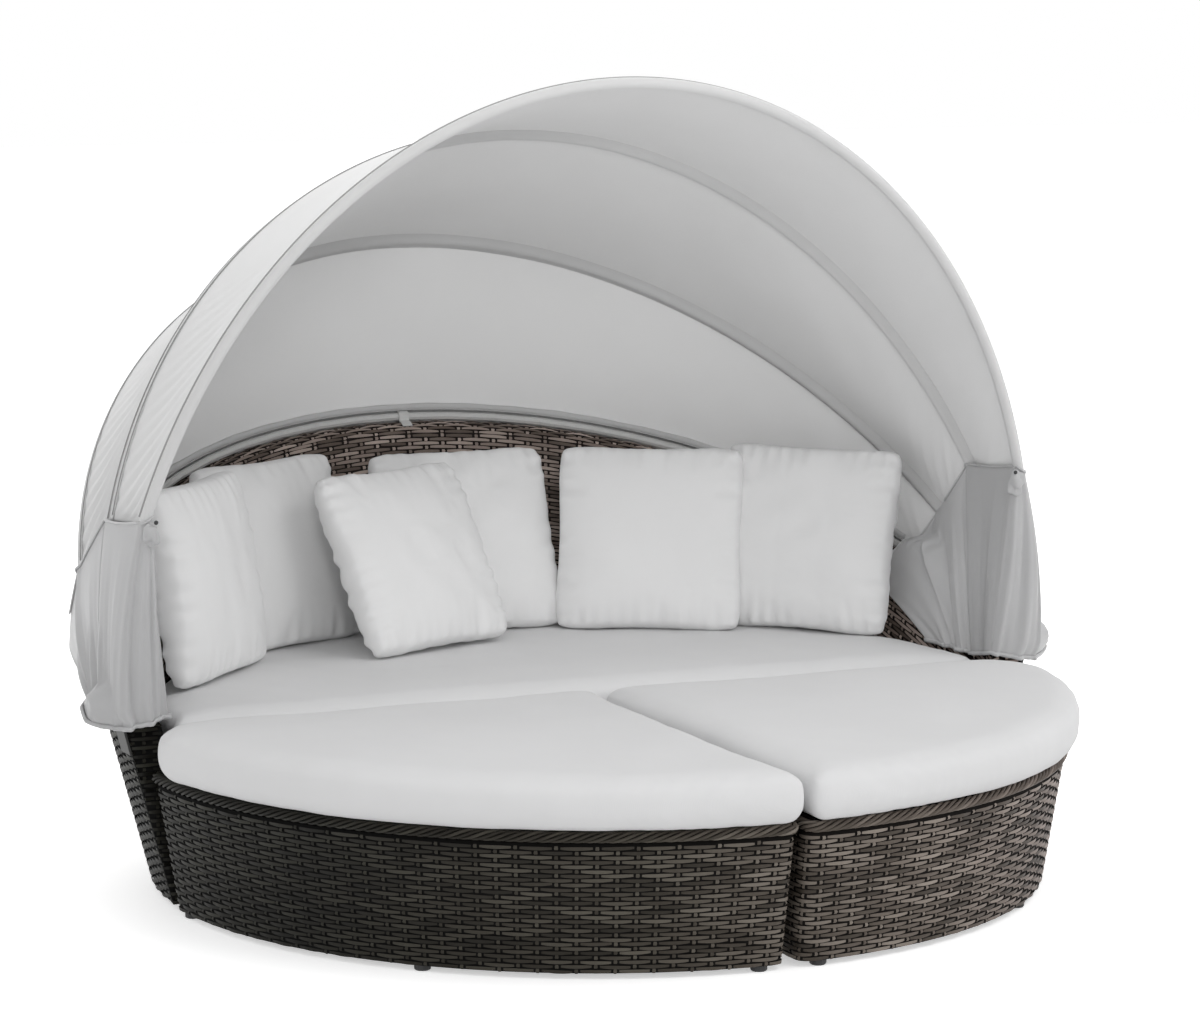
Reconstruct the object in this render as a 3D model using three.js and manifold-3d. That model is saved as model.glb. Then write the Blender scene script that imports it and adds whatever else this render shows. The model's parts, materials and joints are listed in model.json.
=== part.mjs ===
// Round outdoor daybed: a half-round wicker sofa with a folding canopy, and two quarter-round ottomans.
// Lengths are in millimetres and angles in degrees. The sitter faces -Y, +X is to the right seen from
// the front, and +Z is up. The origin is under the middle of the daybed's box, on the ground.
import * as THREE from "three";
import { mergeVertices } from "three/addons/utils/BufferGeometryUtils.js";
import Module from "manifold-3d";

const wasm = await Module();
wasm.setup();

// The round that the three seats make together
const rimRadius = 1000; // outside of the braided rim of the ottomans
const rimHeight = 300; // top of the braid and of the decks
const splitGap = 8; // between two neighbouring seats at the rim
const footSplitGap = 27; // between two ottoman walls at the ground
const rimCorner = 30; // rounding of an ottoman's upright corners
const groundGap = 12; // under the wicker
const seat = 0.3; // between two pieces that rest on each other

// Wicker skins, braid and decks
const skinThickness = 8;
const braidRadius = 12;
const braidProud = 4; // how far the braid stands out past the wall below it
const deckThickness = 10;
const wallLean = 49; // how far an ottoman's wall stands in at the ground
const ottomanFootRadius = rimRadius - braidProud - wallLean; // outside of the ottoman wall at the ground

// Sofa back and arms
const backFootInset = 7; // of the sofa wall at the ground inside the ottomans' walls
const backFootRadius = ottomanFootRadius - backFootInset; // outside of the sofa wall at the ground
const backFlare = 0.26; // outward run of the wall for each unit of rise
const backThickness = 76; // from the outer to the inner face of the wall
const backCrown = 26; // height of the rounded top of the wall
const armHeight = 410; // top of the wall at the front of the arms
const backRise = 0.39; // rise of the wall's top for each unit towards the rear
const frontEdge = splitGap / 2 + braidProud; // outer face of the sofa's straight front
const backY = frontEdge + skinThickness + seat; // centre of the sofa's round, and end of its arms

// Welded tube frames
const railSize = 25;
const ledgeWidth = 42; // flat rail that carries a deck
const postSize = 22;
const frameGap = 1.6; // between a frame and the skin woven round it
const leastCorner = 10; // smallest rounding of a rail or deck corner

// Glides
const glideRadius = 17;
const glideChamfer = 3;
const sofaGlideAngles = [-75, -38, 0, 38, 75]; // from the rear

// Cushions
const cushionThickness = 105;
const cushionOverhang = 30; // of the ottoman cushions past the rim
const cushionRadius = rimRadius + cushionOverhang;
const cushionCorner = 22;
const cushionArmCorner = 130; // the corner that clears the sofa's arm
const cushionEdge = 30; // rounding of the long edges
const cushionCrown = 7; // how far the middle stands above the rounded edge
const cushionDraw = 7; // how far the straight sides pull in
const cushionEdgeShares = [0, 0.4, 0.75, 1]; // of the rounding's quarter turn
const cushionCrownShare = 0.07; // of the way from the edge to the middle, where the top is level
const sofaCushionGap = 3; // between the rear cushion and the wall around it

// Pillows
const pillowSize = 430;
const pillowThickness = 135;
const pillowHem = 9; // thickness along the seam
const pillowDrawShare = 0.055; // how far the sides pull in between the corners
const pillowSwellPower = 0.55; // below 1 the faces are full right to the seam

// Canopy hoops, flattened at both ends into lugs that share one pivot bolt
const hoopRadius = 9.5;
const lugThickness = 4;
const lugRadius = 10.5;
const lugGap = 1.2; // between two neighbouring lugs
const lugLength = 135; // from the pivot to the end of the flat stretch
const lugTaper = 42; // over which the flat end turns into round tube
const lugSharpness = 0.35; // power that squares the flat end's section
const lugTipShares = [0.95, 0.6]; // of the lug's radius, where its rounded tip has sections
const pivotY = 40;
const frontHoopHeight = 1272;
const frontHoopAngle = 99.8;
const middleHoopHeight = 1200;
const middleHoopAngle = 68.8;
const backHoopHeight = 1376;
const backHoopAngle = 37.9;

// Pivot bracket, bolt and knob
const plateThickness = 5;
const plateWidth = 60;
const plateFootDrop = 80; // from the top of the arm down to the lower end of the bracket
const plateTop = 17; // from the pivot axis up to the top of the bracket
const boltRadius = 5;
const boltHeadRadius = 9;
const boltHeadThickness = 5;
const boltSlack = 0.3; // around the bolt in each hole
const knobRadius = 15;
const knobLobe = 1.8;
const knobLobes = 5;
const knobLobeSteps = 4;
const knobThickness = 12;
const knobBore = 9; // depth of the knob's blind hole

// Straps that hold the rearmost hoop down on the wall
const strapThickness = 2.5;
const strapWidth = 22;
const strapClearance = 1.2; // between the strap and the hoop under it
const strapSeat = 0.8; // between the strap's feet and the woven top
const strapFoot = 40; // turn round the woven top at which the feet end
const strapArchSteps = 6;
const leastStation = 1.5; // least turn between two sections of the rearmost hoop
const strapStations = [2, 9, 16, 23, 30]; // of the wall's stations from the left arm to the right

// Cloth
const clothThickness = 3;
const clothClearance = 1.3; // between a hoop and the cloth over it
const clothSag = 14; // how far a panel dips between two hoops
const hemReach = 385; // from the pivot axis to the canopy's side hem
const flapThickness = 4;
const flapFoldDepth = 6;
const flapFoldCount = 5;
const flapFootDrop = 18; // from the top of the arm down to the flap's lower edge
const flapFootFront = -22; // where along Y the lower edge ends
const flapFootRear = 100;
const flapKnobGap = 3;

// Steps of the round stretches
const cornerSteps = 3;
const arcSteps = 16; // in a quarter turn of every wall, rail and cushion: nested arcs stay parallel
const crownSteps = 6;
const tubeSides = 8;
const taperSteps = 3;
const lowSteps = 2; // in a hoop between its flat end and the hem
const panelSteps = 24;
const panelBands = 3;
const wrapSteps = 4;
const pillowSteps = 8;
const flapSplit = 2; // steps of the flap between two points of the hem
const flapBands = 5;
const bendParts = 6; // parts of a long straight edge that bends
const glideSides = 10;

// Finishes
const WICKER = { color: 0x5f5852, roughness: 0.75, metalness: 0 };
const CLOTH = { color: 0xf0f0ee, roughness: 0.9, metalness: 0 };
const CANOPY = { color: 0xdededd, roughness: 0.8, metalness: 0 };
const TUBE = { color: 0x8f8d89, roughness: 0.4, metalness: 0.8 };
const BOLT = { color: 0xa9a9a6, roughness: 0.35, metalness: 1 };
const PLASTIC = { color: 0x1c1b1a, roughness: 0.5, metalness: 0 };

const radians = THREE.MathUtils.degToRad;
const mix = THREE.MathUtils.lerp;

function mesh(name, geometry, finish) {
  const made = new THREE.Mesh(geometry, new THREE.MeshStandardMaterial(finish));
  made.name = name;
  return made;
}

// Volume inside a closed indexed surface, negative where its faces point in.
function signedVolume(points, index) {
  let six = 0;
  for (let i = 0; i < index.length; i += 3) {
    const [a, b, c] = [points[index[i]], points[index[i + 1]], points[index[i + 2]]];
    six += a.dot(b.clone().cross(c));
  }
  return six / 6;
}

function surface(points, index) {
  if (signedVolume(points, index) < 0) index.reverse();
  const geometry = new THREE.BufferGeometry().setFromPoints(points);
  geometry.setIndex(index);
  geometry.computeVertexNormals();
  return geometry;
}

// A closed shell between two grids of points, grid[i][j]. Where round is true, row i closes on itself.
function shell(outer, inner, round) {
  const rows = outer.length;
  const columns = outer[0].length;
  const points = [...outer.flat(), ...inner.flat()];
  const at = (face, i, j) => face * rows * columns + (i % rows) * columns + j;
  const index = [];
  const quad = (a, b, c, d) => index.push(a, b, c, a, c, d);
  const strips = round ? rows : rows - 1;
  for (let i = 0; i < strips; i++) {
    for (let j = 0; j < columns - 1; j++) {
      quad(at(0, i, j), at(0, i + 1, j), at(0, i + 1, j + 1), at(0, i, j + 1));
      quad(at(1, i, j), at(1, i, j + 1), at(1, i + 1, j + 1), at(1, i + 1, j));
    }
    quad(at(0, i + 1, 0), at(0, i, 0), at(1, i, 0), at(1, i + 1, 0));
    const last = columns - 1;
    quad(at(0, i, last), at(0, i + 1, last), at(1, i + 1, last), at(1, i, last));
  }
  if (!round) {
    for (let j = 0; j < columns - 1; j++) {
      quad(at(0, 0, j), at(0, 0, j + 1), at(1, 0, j + 1), at(1, 0, j));
      const end = rows - 1;
      quad(at(0, end, j + 1), at(0, end, j), at(1, end, j), at(1, end, j + 1));
    }
  }
  return surface(points, index);
}

// A closed skin over rings of points, each end closed by a fan. Where round is true the rings form a loop.
function loft(rings, round) {
  const sides = rings[0].length;
  const points = rings.flat();
  const index = [];
  const last = rings.length - 1;
  const strips = round ? rings.length : last;
  for (let i = 0; i < strips; i++) {
    const next = (i + 1) % rings.length;
    for (let j = 0; j < sides; j++) {
      const k = (j + 1) % sides;
      const [a, b, c, d] = [i * sides + j, i * sides + k, next * sides + k, next * sides + j];
      index.push(a, b, c, a, c, d);
    }
  }
  if (!round) {
    for (const [ring, forward] of [[0, false], [last, true]]) {
      const middle = new THREE.Vector3();
      rings[ring].forEach((p) => middle.addScaledVector(p, 1 / sides));
      points.push(middle);
      for (let j = 0; j < sides; j++) {
        const a = ring * sides + j;
        const b = ring * sides + ((j + 1) % sides);
        index.push(points.length - 1, forward ? a : b, forward ? b : a);
      }
    }
  }
  return surface(points, index);
}

// Joining and cutting of closed solids.
function solid(geometry) {
  const bare = geometry.clone();
  bare.deleteAttribute("normal");
  bare.deleteAttribute("uv");
  const merged = mergeVertices(bare);
  return new wasm.Manifold(
    new wasm.Mesh({
      numProp: 3,
      vertProperties: merged.attributes.position.array,
      triVerts: new Uint32Array(merged.index.array),
    }),
  );
}

function geometryOf(made) {
  const { vertProperties, triVerts } = made.getMesh();
  const geometry = new THREE.BufferGeometry();
  geometry.setAttribute("position", new THREE.BufferAttribute(vertProperties, 3));
  geometry.setIndex(new THREE.BufferAttribute(triVerts, 1));
  geometry.computeVertexNormals();
  return geometry;
}

const joined = (pieces) => geometryOf(pieces.map(solid).reduce((a, b) => a.add(b)));
const cut = (piece, cutter) => geometryOf(solid(piece).subtract(solid(cutter)));

// Flat outlines, as lists of 2-D points that run counterclockwise
function arc(x, y, radius, from, to, steps) {
  const points = [];
  for (let i = 0; i <= steps; i++) {
    const angle = radians(mix(from, to, i / steps));
    points.push(new THREE.Vector2(x + radius * Math.cos(angle), y + radius * Math.sin(angle)));
  }
  return points;
}

// Points of the round between two turns, at fixed steps of the full turn.
function roundPoints(x, y, radius, from, to) {
  const step = 90 / arcSteps;
  const points = [];
  for (let turn = step * Math.ceil(from / step + 0.1); turn < to - 0.1 * step; turn += step) {
    const angle = radians(turn);
    points.push(new THREE.Vector2(x + radius * Math.cos(angle), y + radius * Math.sin(angle)));
  }
  return points;
}

// Distance from the middle at which a corner's rounding is centred, beside a straight side.
const filletRun = (radius, side, corner) => Math.sqrt((radius - corner) ** 2 - (side + corner) ** 2);

// The front right quarter of a round: sides at x = side and y = -side, and three rounded corners.
function quarterOutline(radius, side, front, arm, inner) {
  const frontRun = filletRun(radius, side, front);
  const armRun = filletRun(radius, side, arm);
  const frontTurn = 360 - THREE.MathUtils.radToDeg(Math.atan2(frontRun, side + front));
  const armTurn = 360 - THREE.MathUtils.radToDeg(Math.atan2(side + arm, armRun));
  return [
    ...arc(side + inner, -side - inner, inner, 90, 180, cornerSteps),
    ...arc(side + front, -frontRun, front, 180, frontTurn, cornerSteps),
    ...roundPoints(0, 0, radius, frontTurn, armTurn),
    ...arc(armRun, -side - arm, arm, armTurn, 450, cornerSteps),
  ];
}

// The rear half of a round about (0, middle), with its straight side at y = side.
function halfOutline(radius, middle, side, corner) {
  const rise = side - middle;
  const run = filletRun(radius, rise, corner);
  const turn = THREE.MathUtils.radToDeg(Math.atan2(rise + corner, run));
  return [
    ...arc(run, side + corner, corner, -90, turn, cornerSteps),
    ...roundPoints(0, middle, radius, turn, 180 - turn),
    ...arc(-run, side + corner, corner, 180 - turn, 270, cornerSteps),
  ];
}

const raised = (outline, z) => outline.map((p) => new THREE.Vector3(p.x, p.y, z));

function plate(outline, hole, from, to) {
  const shape = new THREE.Shape(outline);
  if (hole) shape.holes.push(new THREE.Path(hole));
  const geometry = new THREE.ExtrudeGeometry(shape, { depth: to - from, bevelEnabled: false });
  return geometry.translate(0, 0, from);
}

// A square bar between two points, square to the radius through them.
function bar(foot, top, size) {
  const angle = Math.atan2(foot.y, foot.x);
  const ring = (p) =>
    [[-1, -1], [1, -1], [1, 1], [-1, 1]].map(([u, v]) => {
      const corner = new THREE.Vector2((u * size) / 2, (v * size) / 2);
      corner.rotateAround(new THREE.Vector2(), angle);
      return new THREE.Vector3(p.x + corner.x, p.y + corner.y, p.z);
    });
  return loft([ring(foot), ring(top)], false);
}

// A round tube through a row of points, with its section square to the row.
function pipe(points, radius) {
  const rings = points.map((p, i) => {
    const ahead = points[Math.min(i + 1, points.length - 1)].clone();
    ahead.sub(points[Math.max(i - 1, 0)]).normalize();
    const up = new THREE.Vector3(0, 0, 1).addScaledVector(ahead, -ahead.z).normalize();
    const side = ahead.clone().cross(up);
    return arc(0, 0, radius, 0, 360, tubeSides)
      .slice(0, -1)
      .map((q) => p.clone().addScaledVector(side, q.x).addScaledVector(up, q.y));
  });
  return loft(rings, false);
}

// A ring tube that follows a closed outline at one height.
function braid(outline, radius, z) {
  const count = outline.length;
  const rings = outline.map((p, i) => {
    const ahead = outline[(i + 1) % count].clone().sub(outline[(i + count - 1) % count]).normalize();
    return arc(0, 0, radius, 0, 360, tubeSides)
      .slice(0, -1)
      .map((q) => new THREE.Vector3(p.x + ahead.y * q.x, p.y - ahead.x * q.x, z + q.y));
  });
  return loft(rings, true);
}

// Cushions: rings of one outline that round over the edges and rise to a crown.
// The outline maker takes how far the ring stands in from the cushion's outside.
function cushion(outlineAt, bottom) {
  const top = bottom + cushionThickness;
  const rings = [];
  const level = (inset, z) => rings.push(raised(outlineAt(inset), z));
  const round = (share) => cushionEdge * (1 - Math.sin(radians(90 * share)));
  const climb = (share) => cushionEdge * (1 - Math.cos(radians(90 * share)));
  const foot = cushionEdge / 2;
  level(foot, bottom);
  level(0, bottom + cushionEdge);
  const shoulder = top - cushionCrown;
  cushionEdgeShares.forEach((share) => level(climb(share), shoulder - round(share)));
  const edge = rings[rings.length - 1];
  const middle = new THREE.Vector3();
  edge.forEach((p) => middle.addScaledVector(p, 1 / edge.length));
  const crown = edge.map((p) => p.clone().lerp(middle, cushionCrownShare));
  crown.forEach((p) => (p.z = top));
  rings.push(crown);
  return loft(rings, false);
}

// Ottomans. Each is built as the front right quarter and turned into its place.
const footSide = footSplitGap / 2;
const rimSide = splitGap / 2;
const wallShare = (z) => z / rimHeight;
const ottomanRadius = (z) => mix(ottomanFootRadius, rimRadius - braidProud, wallShare(z));
const ottomanSide = (z) => mix(footSide, rimSide + braidProud, wallShare(z));
const braidHeight = rimHeight - braidRadius;
const wallTop = rimHeight - 2 * braidRadius - seat;
const railTop = rimHeight - deckThickness - seat;

function ottomanOutline(z, inset) {
  const corner = Math.max(rimCorner - inset, leastCorner);
  return quarterOutline(ottomanRadius(z) - inset, ottomanSide(z) + inset, corner, corner, corner);
}

function ottomanFrame() {
  const inset = skinThickness + frameGap;
  const ledgeInset = 2 * braidRadius + seat - braidProud;
  const floorRail = plate(
    ottomanOutline(groundGap, inset),
    ottomanOutline(groundGap, inset + railSize),
    groundGap,
    groundGap + railSize,
  );
  const ledgeFoot = railTop - railSize;
  const ledge = plate(
    ottomanOutline(ledgeFoot, ledgeInset),
    ottomanOutline(ledgeFoot, ledgeInset + ledgeWidth),
    ledgeFoot,
    railTop,
  );
  const half = railSize / 2;
  const postInset = inset + half;
  const radiusAt = (z) => ottomanRadius(z) - postInset;
  const sideAt = (z) => ottomanSide(z) + postInset;
  const low = groundGap + half;
  const high = wallTop - seat;
  const spot = (z, turn) => {
    const r = radiusAt(z);
    const s = sideAt(z);
    const corner = Math.asin(s / r);
    const angle = mix(-Math.PI / 2 + corner + rimCorner / r, -corner - rimCorner / r, turn);
    return new THREE.Vector3(r * Math.cos(angle), r * Math.sin(angle), z);
  };
  const posts = [0, 1 / 3, 2 / 3, 1].map((turn) => bar(spot(low, turn), spot(high, turn), postSize));
  const inner = (z) => new THREE.Vector3(sideAt(z) + rimCorner / 2, -sideAt(z) - rimCorner / 2, z);
  posts.push(bar(inner(low), inner(high), postSize));
  const bearerStart = ottomanSide(ledgeFoot) + ledgeInset + railSize;
  const bearerEnd = ottomanRadius(ledgeFoot) - ledgeInset - railSize;
  const bearerLength = bearerEnd - bearerStart * Math.SQRT2;
  const bearer = new THREE.BoxGeometry(railSize, bearerLength, railSize);
  bearer.translate(0, -bearerLength / 2, 0).rotateZ(radians(45));
  bearer.translate(bearerStart, -bearerStart, ledgeFoot + half);
  return joined([floorRail, ledge, bearer, ...posts]);
}

function ottomanWall() {
  const outer = [groundGap, wallTop].map((z) => raised(ottomanOutline(z, 0), z));
  const inner = [groundGap, wallTop].map((z) => raised(ottomanOutline(z, skinThickness), z));
  const columns = (rings) => rings[0].map((_, i) => rings.map((ring) => ring[i]));
  return shell(columns(outer), columns(inner), true);
}

function rimOutline(inset) {
  const corner = Math.max(rimCorner - inset, leastCorner);
  return quarterOutline(rimRadius - inset, rimSide + inset, corner, corner, corner);
}

function glide(x, y) {
  const height = groundGap - seat;
  const profile = [
    new THREE.Vector2(0, 0),
    new THREE.Vector2(glideRadius - glideChamfer, 0),
    new THREE.Vector2(glideRadius, glideChamfer),
    new THREE.Vector2(glideRadius, height),
    new THREE.Vector2(0, height),
  ];
  const geometry = new THREE.LatheGeometry(profile, glideSides);
  geometry.rotateX(radians(90));
  return geometry.translate(x, y, 0);
}

// The straight sides of a cushion's outline pull in between their corners.
function drawnIn(outline, axis, line, reach) {
  return outline.map((p) => {
    const along = axis === "x" ? p.y : p.x;
    const off = Math.abs((axis === "x" ? p.x : p.y) - line);
    const share = THREE.MathUtils.clamp(Math.abs(along) / reach, 0, 1);
    const pull = cushionDraw * Math.sin(Math.PI * share) * Math.max(0, 1 - off / cushionEdge);
    const moved = p.clone();
    moved[axis] += axis === "x" ? pull : -pull;
    return moved;
  });
}

function ottomanCushion(left) {
  const outlineAt = (inset) => {
    const small = Math.max(cushionCorner - inset, leastCorner);
    const large = cushionArmCorner - inset;
    const [front, arm] = left ? [large, small] : [small, large];
    const outline = denser(quarterOutline(cushionRadius - inset, rimSide + inset, front, arm, small));
    const reach = cushionRadius;
    return drawnIn(drawnIn(outline, "x", rimSide + inset, reach), "y", -rimSide - inset, reach);
  };
  return cushion(outlineAt, rimHeight + seat);
}

// Adds points on the long straight stretches of an outline, so that they can bend.
function denser(outline) {
  const count = outline.length;
  const long = cushionRadius / 3;
  return outline.flatMap((p, i) => {
    const next = outline[(i + 1) % count];
    if (p.distanceTo(next) < long) return [p];
    return Array.from({ length: bendParts }, (_, k) => p.clone().lerp(next, k / bendParts));
  });
}

function ottoman(name, left) {
  const group = new THREE.Group();
  const frame = mesh(name + "_frame", ottomanFrame(), TUBE);
  const deckInset = 2 * braidRadius + seat;
  const deck = mesh(
    name + "_deck",
    plate(rimOutline(deckInset), null, rimHeight - deckThickness, rimHeight),
    WICKER,
  );
  const wall = mesh(name + "_wall", ottomanWall(), WICKER);
  const rim = mesh(name + "_rim_braid", braid(rimOutline(braidRadius), braidRadius, braidHeight), WICKER);
  const pad = mesh(name + "_cushion", ottomanCushion(left), CLOTH);
  group.add(frame, deck, wall, rim, pad);
  const footRadius = ottomanRadius(groundGap);
  const footInset = skinThickness + seat + railSize / 2;
  const r = footRadius - footInset;
  const s = ottomanSide(groundGap) + footInset;
  const cornerTurn = THREE.MathUtils.radToDeg((s + rimCorner) / r);
  const turns = [-90 + cornerTurn, -45, -cornerTurn];
  const spots = turns.map((turn) => [r * Math.cos(radians(turn)), r * Math.sin(radians(turn))]);
  spots.push([s + glideChamfer, -s - glideChamfer]);
  spots.forEach(([x, y], i) => group.add(mesh(`${name}_glide_${i + 1}`, glide(x, y), PLASTIC)));
  if (left) group.rotation.z = radians(-90);
  return group;
}

// Sofa wall: the shape of its back and arms
const backRadius = (z) => backFootRadius + backFlare * z;
const rimBase = backFootRadius + backFlare * armHeight - backThickness / 2;

// Middle of the wall's top at an angle from the rear, 0 at the rear and 90 at an arm.
function backTop(angle) {
  const c = Math.cos(radians(angle));
  const reach = (rimBase * c) / (1 - backFlare * backRise * c);
  const height = armHeight + backRise * reach;
  return { radius: rimBase + backFlare * backRise * reach, height };
}

const around = (angle, radius, z) =>
  new THREE.Vector3(radius * Math.sin(radians(angle)), backY + radius * Math.cos(radians(angle)), z);

// Section of the wall: up the outer face, over the rounded top and down the inner face.
function backSection(angle, inset) {
  const { height } = backTop(angle);
  const shoulder = height - backCrown;
  const half = backThickness / 2;
  const middle = backRadius(shoulder) - half;
  const points = [around(angle, backRadius(groundGap) - inset, groundGap)];
  for (let i = 0; i <= crownSteps; i++) {
    const turn = Math.PI * (i / crownSteps);
    const r = middle + (half - inset) * Math.cos(turn);
    points.push(around(angle, r, shoulder + (backCrown - inset) * Math.sin(turn)));
  }
  const foot = rimHeight + seat;
  points.push(around(angle, backRadius(foot) - backThickness + inset, foot));
  return points;
}

const backAngles = Array.from({ length: 2 * arcSteps + 1 }, (_, i) => (90 * i) / arcSteps - 90);

function backSkin() {
  const face = (inset) => backAngles.map((angle) => backSection(angle, inset));
  return shell(face(0), face(skinThickness), false);
}

// The sofa's straight front: under the deck, and up the ends of both arms.
function frontPanel() {
  const side = backSection(90, 0).map((p) => new THREE.Vector2(p.x, p.z));
  const inner = side.pop();
  const slope = backFlare;
  const foot = new THREE.Vector2(inner.x - slope * (inner.y - wallTop), wallTop);
  const right = [...side, foot];
  const left = right.map((p) => new THREE.Vector2(-p.x, p.y)).reverse();
  const geometry = plate([...right, ...left], null, 0, skinThickness);
  geometry.rotateX(radians(90));
  return geometry.translate(0, frontEdge + skinThickness, 0);
}

function sofaOutline(z, inset, frontInset) {
  return halfOutline(backRadius(z) - inset, backY, frontEdge + frontInset, leastCorner);
}

function sofaFrame() {
  const inset = skinThickness + frameGap;
  const braidInset = 2 * braidRadius + seat - braidProud;
  const floorRail = plate(
    sofaOutline(groundGap, inset, inset),
    sofaOutline(groundGap, inset + railSize, inset + railSize),
    groundGap,
    groundGap + railSize,
  );
  const ledgeFoot = railTop - railSize;
  const ledge = plate(
    sofaOutline(ledgeFoot, inset, braidInset),
    sofaOutline(ledgeFoot, backThickness + railSize / 2, braidInset + ledgeWidth),
    ledgeFoot,
    railTop,
  );
  const half = backThickness / 2;
  const topDrop = skinThickness + frameGap + railSize / 2;
  const spanEnd = 90 - THREE.MathUtils.radToDeg(railSize / rimBase);
  const topAngles = backAngles.filter((angle) => Math.abs(angle) < spanEnd);
  const topRail = pipe(
    [-spanEnd, ...topAngles, spanEnd].map((angle) => {
      const { radius, height } = backTop(angle);
      return around(angle, radius - backFlare * backCrown, height - topDrop);
    }),
    railSize / 2,
  );
  const low = groundGap + railSize / 2;
  const posts = [-spanEnd, -spanEnd / 2, 0, spanEnd / 2, spanEnd].map((angle) => {
    const { height } = backTop(angle);
    const z = height - topDrop;
    const foot = around(angle, backRadius(low) - half, low);
    const top = around(angle, backRadius(z) - half, z);
    return bar(foot, top, postSize);
  });
  const bearers = [-1 / 3, 1 / 3].map((share) => {
    const x = share * rimRadius;
    const rear = backY + Math.sqrt((backRadius(ledgeFoot) - backThickness) ** 2 - x ** 2);
    const front = frontEdge + braidInset;
    const bearer = new THREE.BoxGeometry(railSize, rear - front, railSize);
    return bearer.translate(x, (rear + front) / 2, railTop - railSize / 2);
  });
  return joined([floorRail, ledge, topRail, ...posts, ...bearers]);
}

function sofaDeck() {
  const start = rimSide + 2 * braidRadius + seat;
  const postFace = backThickness / 2 + postSize / 2 + seat;
  const radius = backRadius(railTop) - postFace;
  const outline = halfOutline(radius - seat, backY, start, leastCorner);
  return plate(outline, null, rimHeight - deckThickness, rimHeight);
}

function sofaBraid() {
  const reach = backRadius(wallTop) - backThickness - seat;
  const y = rimSide + braidRadius;
  return pipe([-reach, reach].map((x) => new THREE.Vector3(x, y, braidHeight)), braidRadius);
}

function sofaCushion() {
  const radius = backRadius(rimHeight) - backThickness - sofaCushionGap;
  const outlineAt = (inset) => {
    const corner = Math.max(cushionCorner - inset, leastCorner);
    const outline = denser(halfOutline(radius - inset, backY, rimSide + inset, corner));
    const line = rimSide + inset;
    return outline.map((p) => {
      const off = Math.abs(p.y - line);
      const share = Math.min(1, Math.abs(p.x) / radius);
      const pull = cushionDraw * Math.cos((Math.PI / 2) * share) * Math.max(0, 1 - off / cushionEdge);
      return new THREE.Vector2(p.x, p.y + pull);
    });
  };
  return cushion(outlineAt, rimHeight + seat);
}

// Pillows. The faces swell from a thin seam, and the corners stand out as ears.
function pillowGeometry() {
  const half = pillowSize / 2;
  const swell = (pillowThickness - pillowHem) / 2;
  const face = (side) =>
    Array.from({ length: pillowSteps + 1 }, (_, i) =>
      Array.from({ length: pillowSteps + 1 }, (_, j) => {
        const u = mix(-1, 1, i / pillowSteps);
        const v = mix(-1, 1, j / pillowSteps);
        const x = half * u * (1 - pillowDrawShare * (1 - v ** 2));
        const z = half * v * (1 - pillowDrawShare * (1 - u ** 2));
        const y = pillowHem / 2 + swell * ((1 - u ** 2) * (1 - v ** 2)) ** pillowSwellPower;
        return new THREE.Vector3(x, side * y, z + half);
      }),
    );
  return shell(face(-1), face(1), false);
}

// Where each pillow stands, seen from above: shares of the wall's inner radius, then turn and lean.
const pillowPlaceShares = [
  { across: -0.75, back: 0.43, turn: 47, lean: 9 },
  { across: -0.455, back: 0.735, turn: 26, lean: 16 },
  { across: -0.155, back: 0.545, turn: 24, lean: 27 },
  { across: 0.02, back: 0.745, turn: 0, lean: 22 },
  { across: 0.405, back: 0.615, turn: -29, lean: 18 },
  { across: 0.735, back: 0.46, turn: -48, lean: 15 },
];

function pillow(place, i) {
  const reach = backRadius(rimHeight) - backThickness;
  const made = mesh(`pillow_${i + 1}`, pillowGeometry(), CLOTH);
  made.rotation.order = "ZXY";
  made.rotation.z = radians(place.turn);
  made.rotation.x = radians(-place.lean);
  made.position.set(place.across * reach, place.back * reach, 0);
  made.updateMatrixWorld();
  const low = new THREE.Box3().setFromObject(made, true).min.z;
  made.position.z = rimHeight + seat + cushionThickness + seat - low;
  return made;
}

// Canopy pivot and hoops
const hoopLift = (hoopRadius + seat) * Math.sqrt(1 + backRise ** 2);
const pivotZ = armHeight + backRise * (pivotY - backY) + hoopLift;
const plateX = backRadius(armHeight) + seat;
const stackX = plateX + plateThickness;
const lugX = (place) => stackX + place * (lugGap + lugThickness) + lugGap + lugThickness / 2;
const stackEnd = lugX(2) + lugThickness / 2;

// A point of a hoop's plane, given across and out from the pivot axis, and a step square to the plane.
function inPlane(angle, across, out, beside) {
  const c = Math.cos(radians(angle));
  const s = Math.sin(radians(angle));
  return new THREE.Vector3(across, pivotY + out * c - beside * s, pivotZ + out * s + beside * c);
}

const hoops = {
  front: { angle: frontHoopAngle, width: lugX(0), height: frontHoopHeight },
  middle: { angle: middleHoopAngle, width: lugX(1), height: middleHoopHeight },
  back: { angle: backHoopAngle, width: lugX(2), height: backHoopHeight },
};

// Shares of the way from the left hem to the right hem, at which hoops and cloth have their sections
const panelShares = Array.from({ length: panelSteps + 1 }, (_, i) => i / panelSteps);

// The turns of a hoop's ellipse at which it reaches a distance out from the pivot axis, on one side.
const turnAt = (height, out) => Math.asin(out / height);

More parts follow.
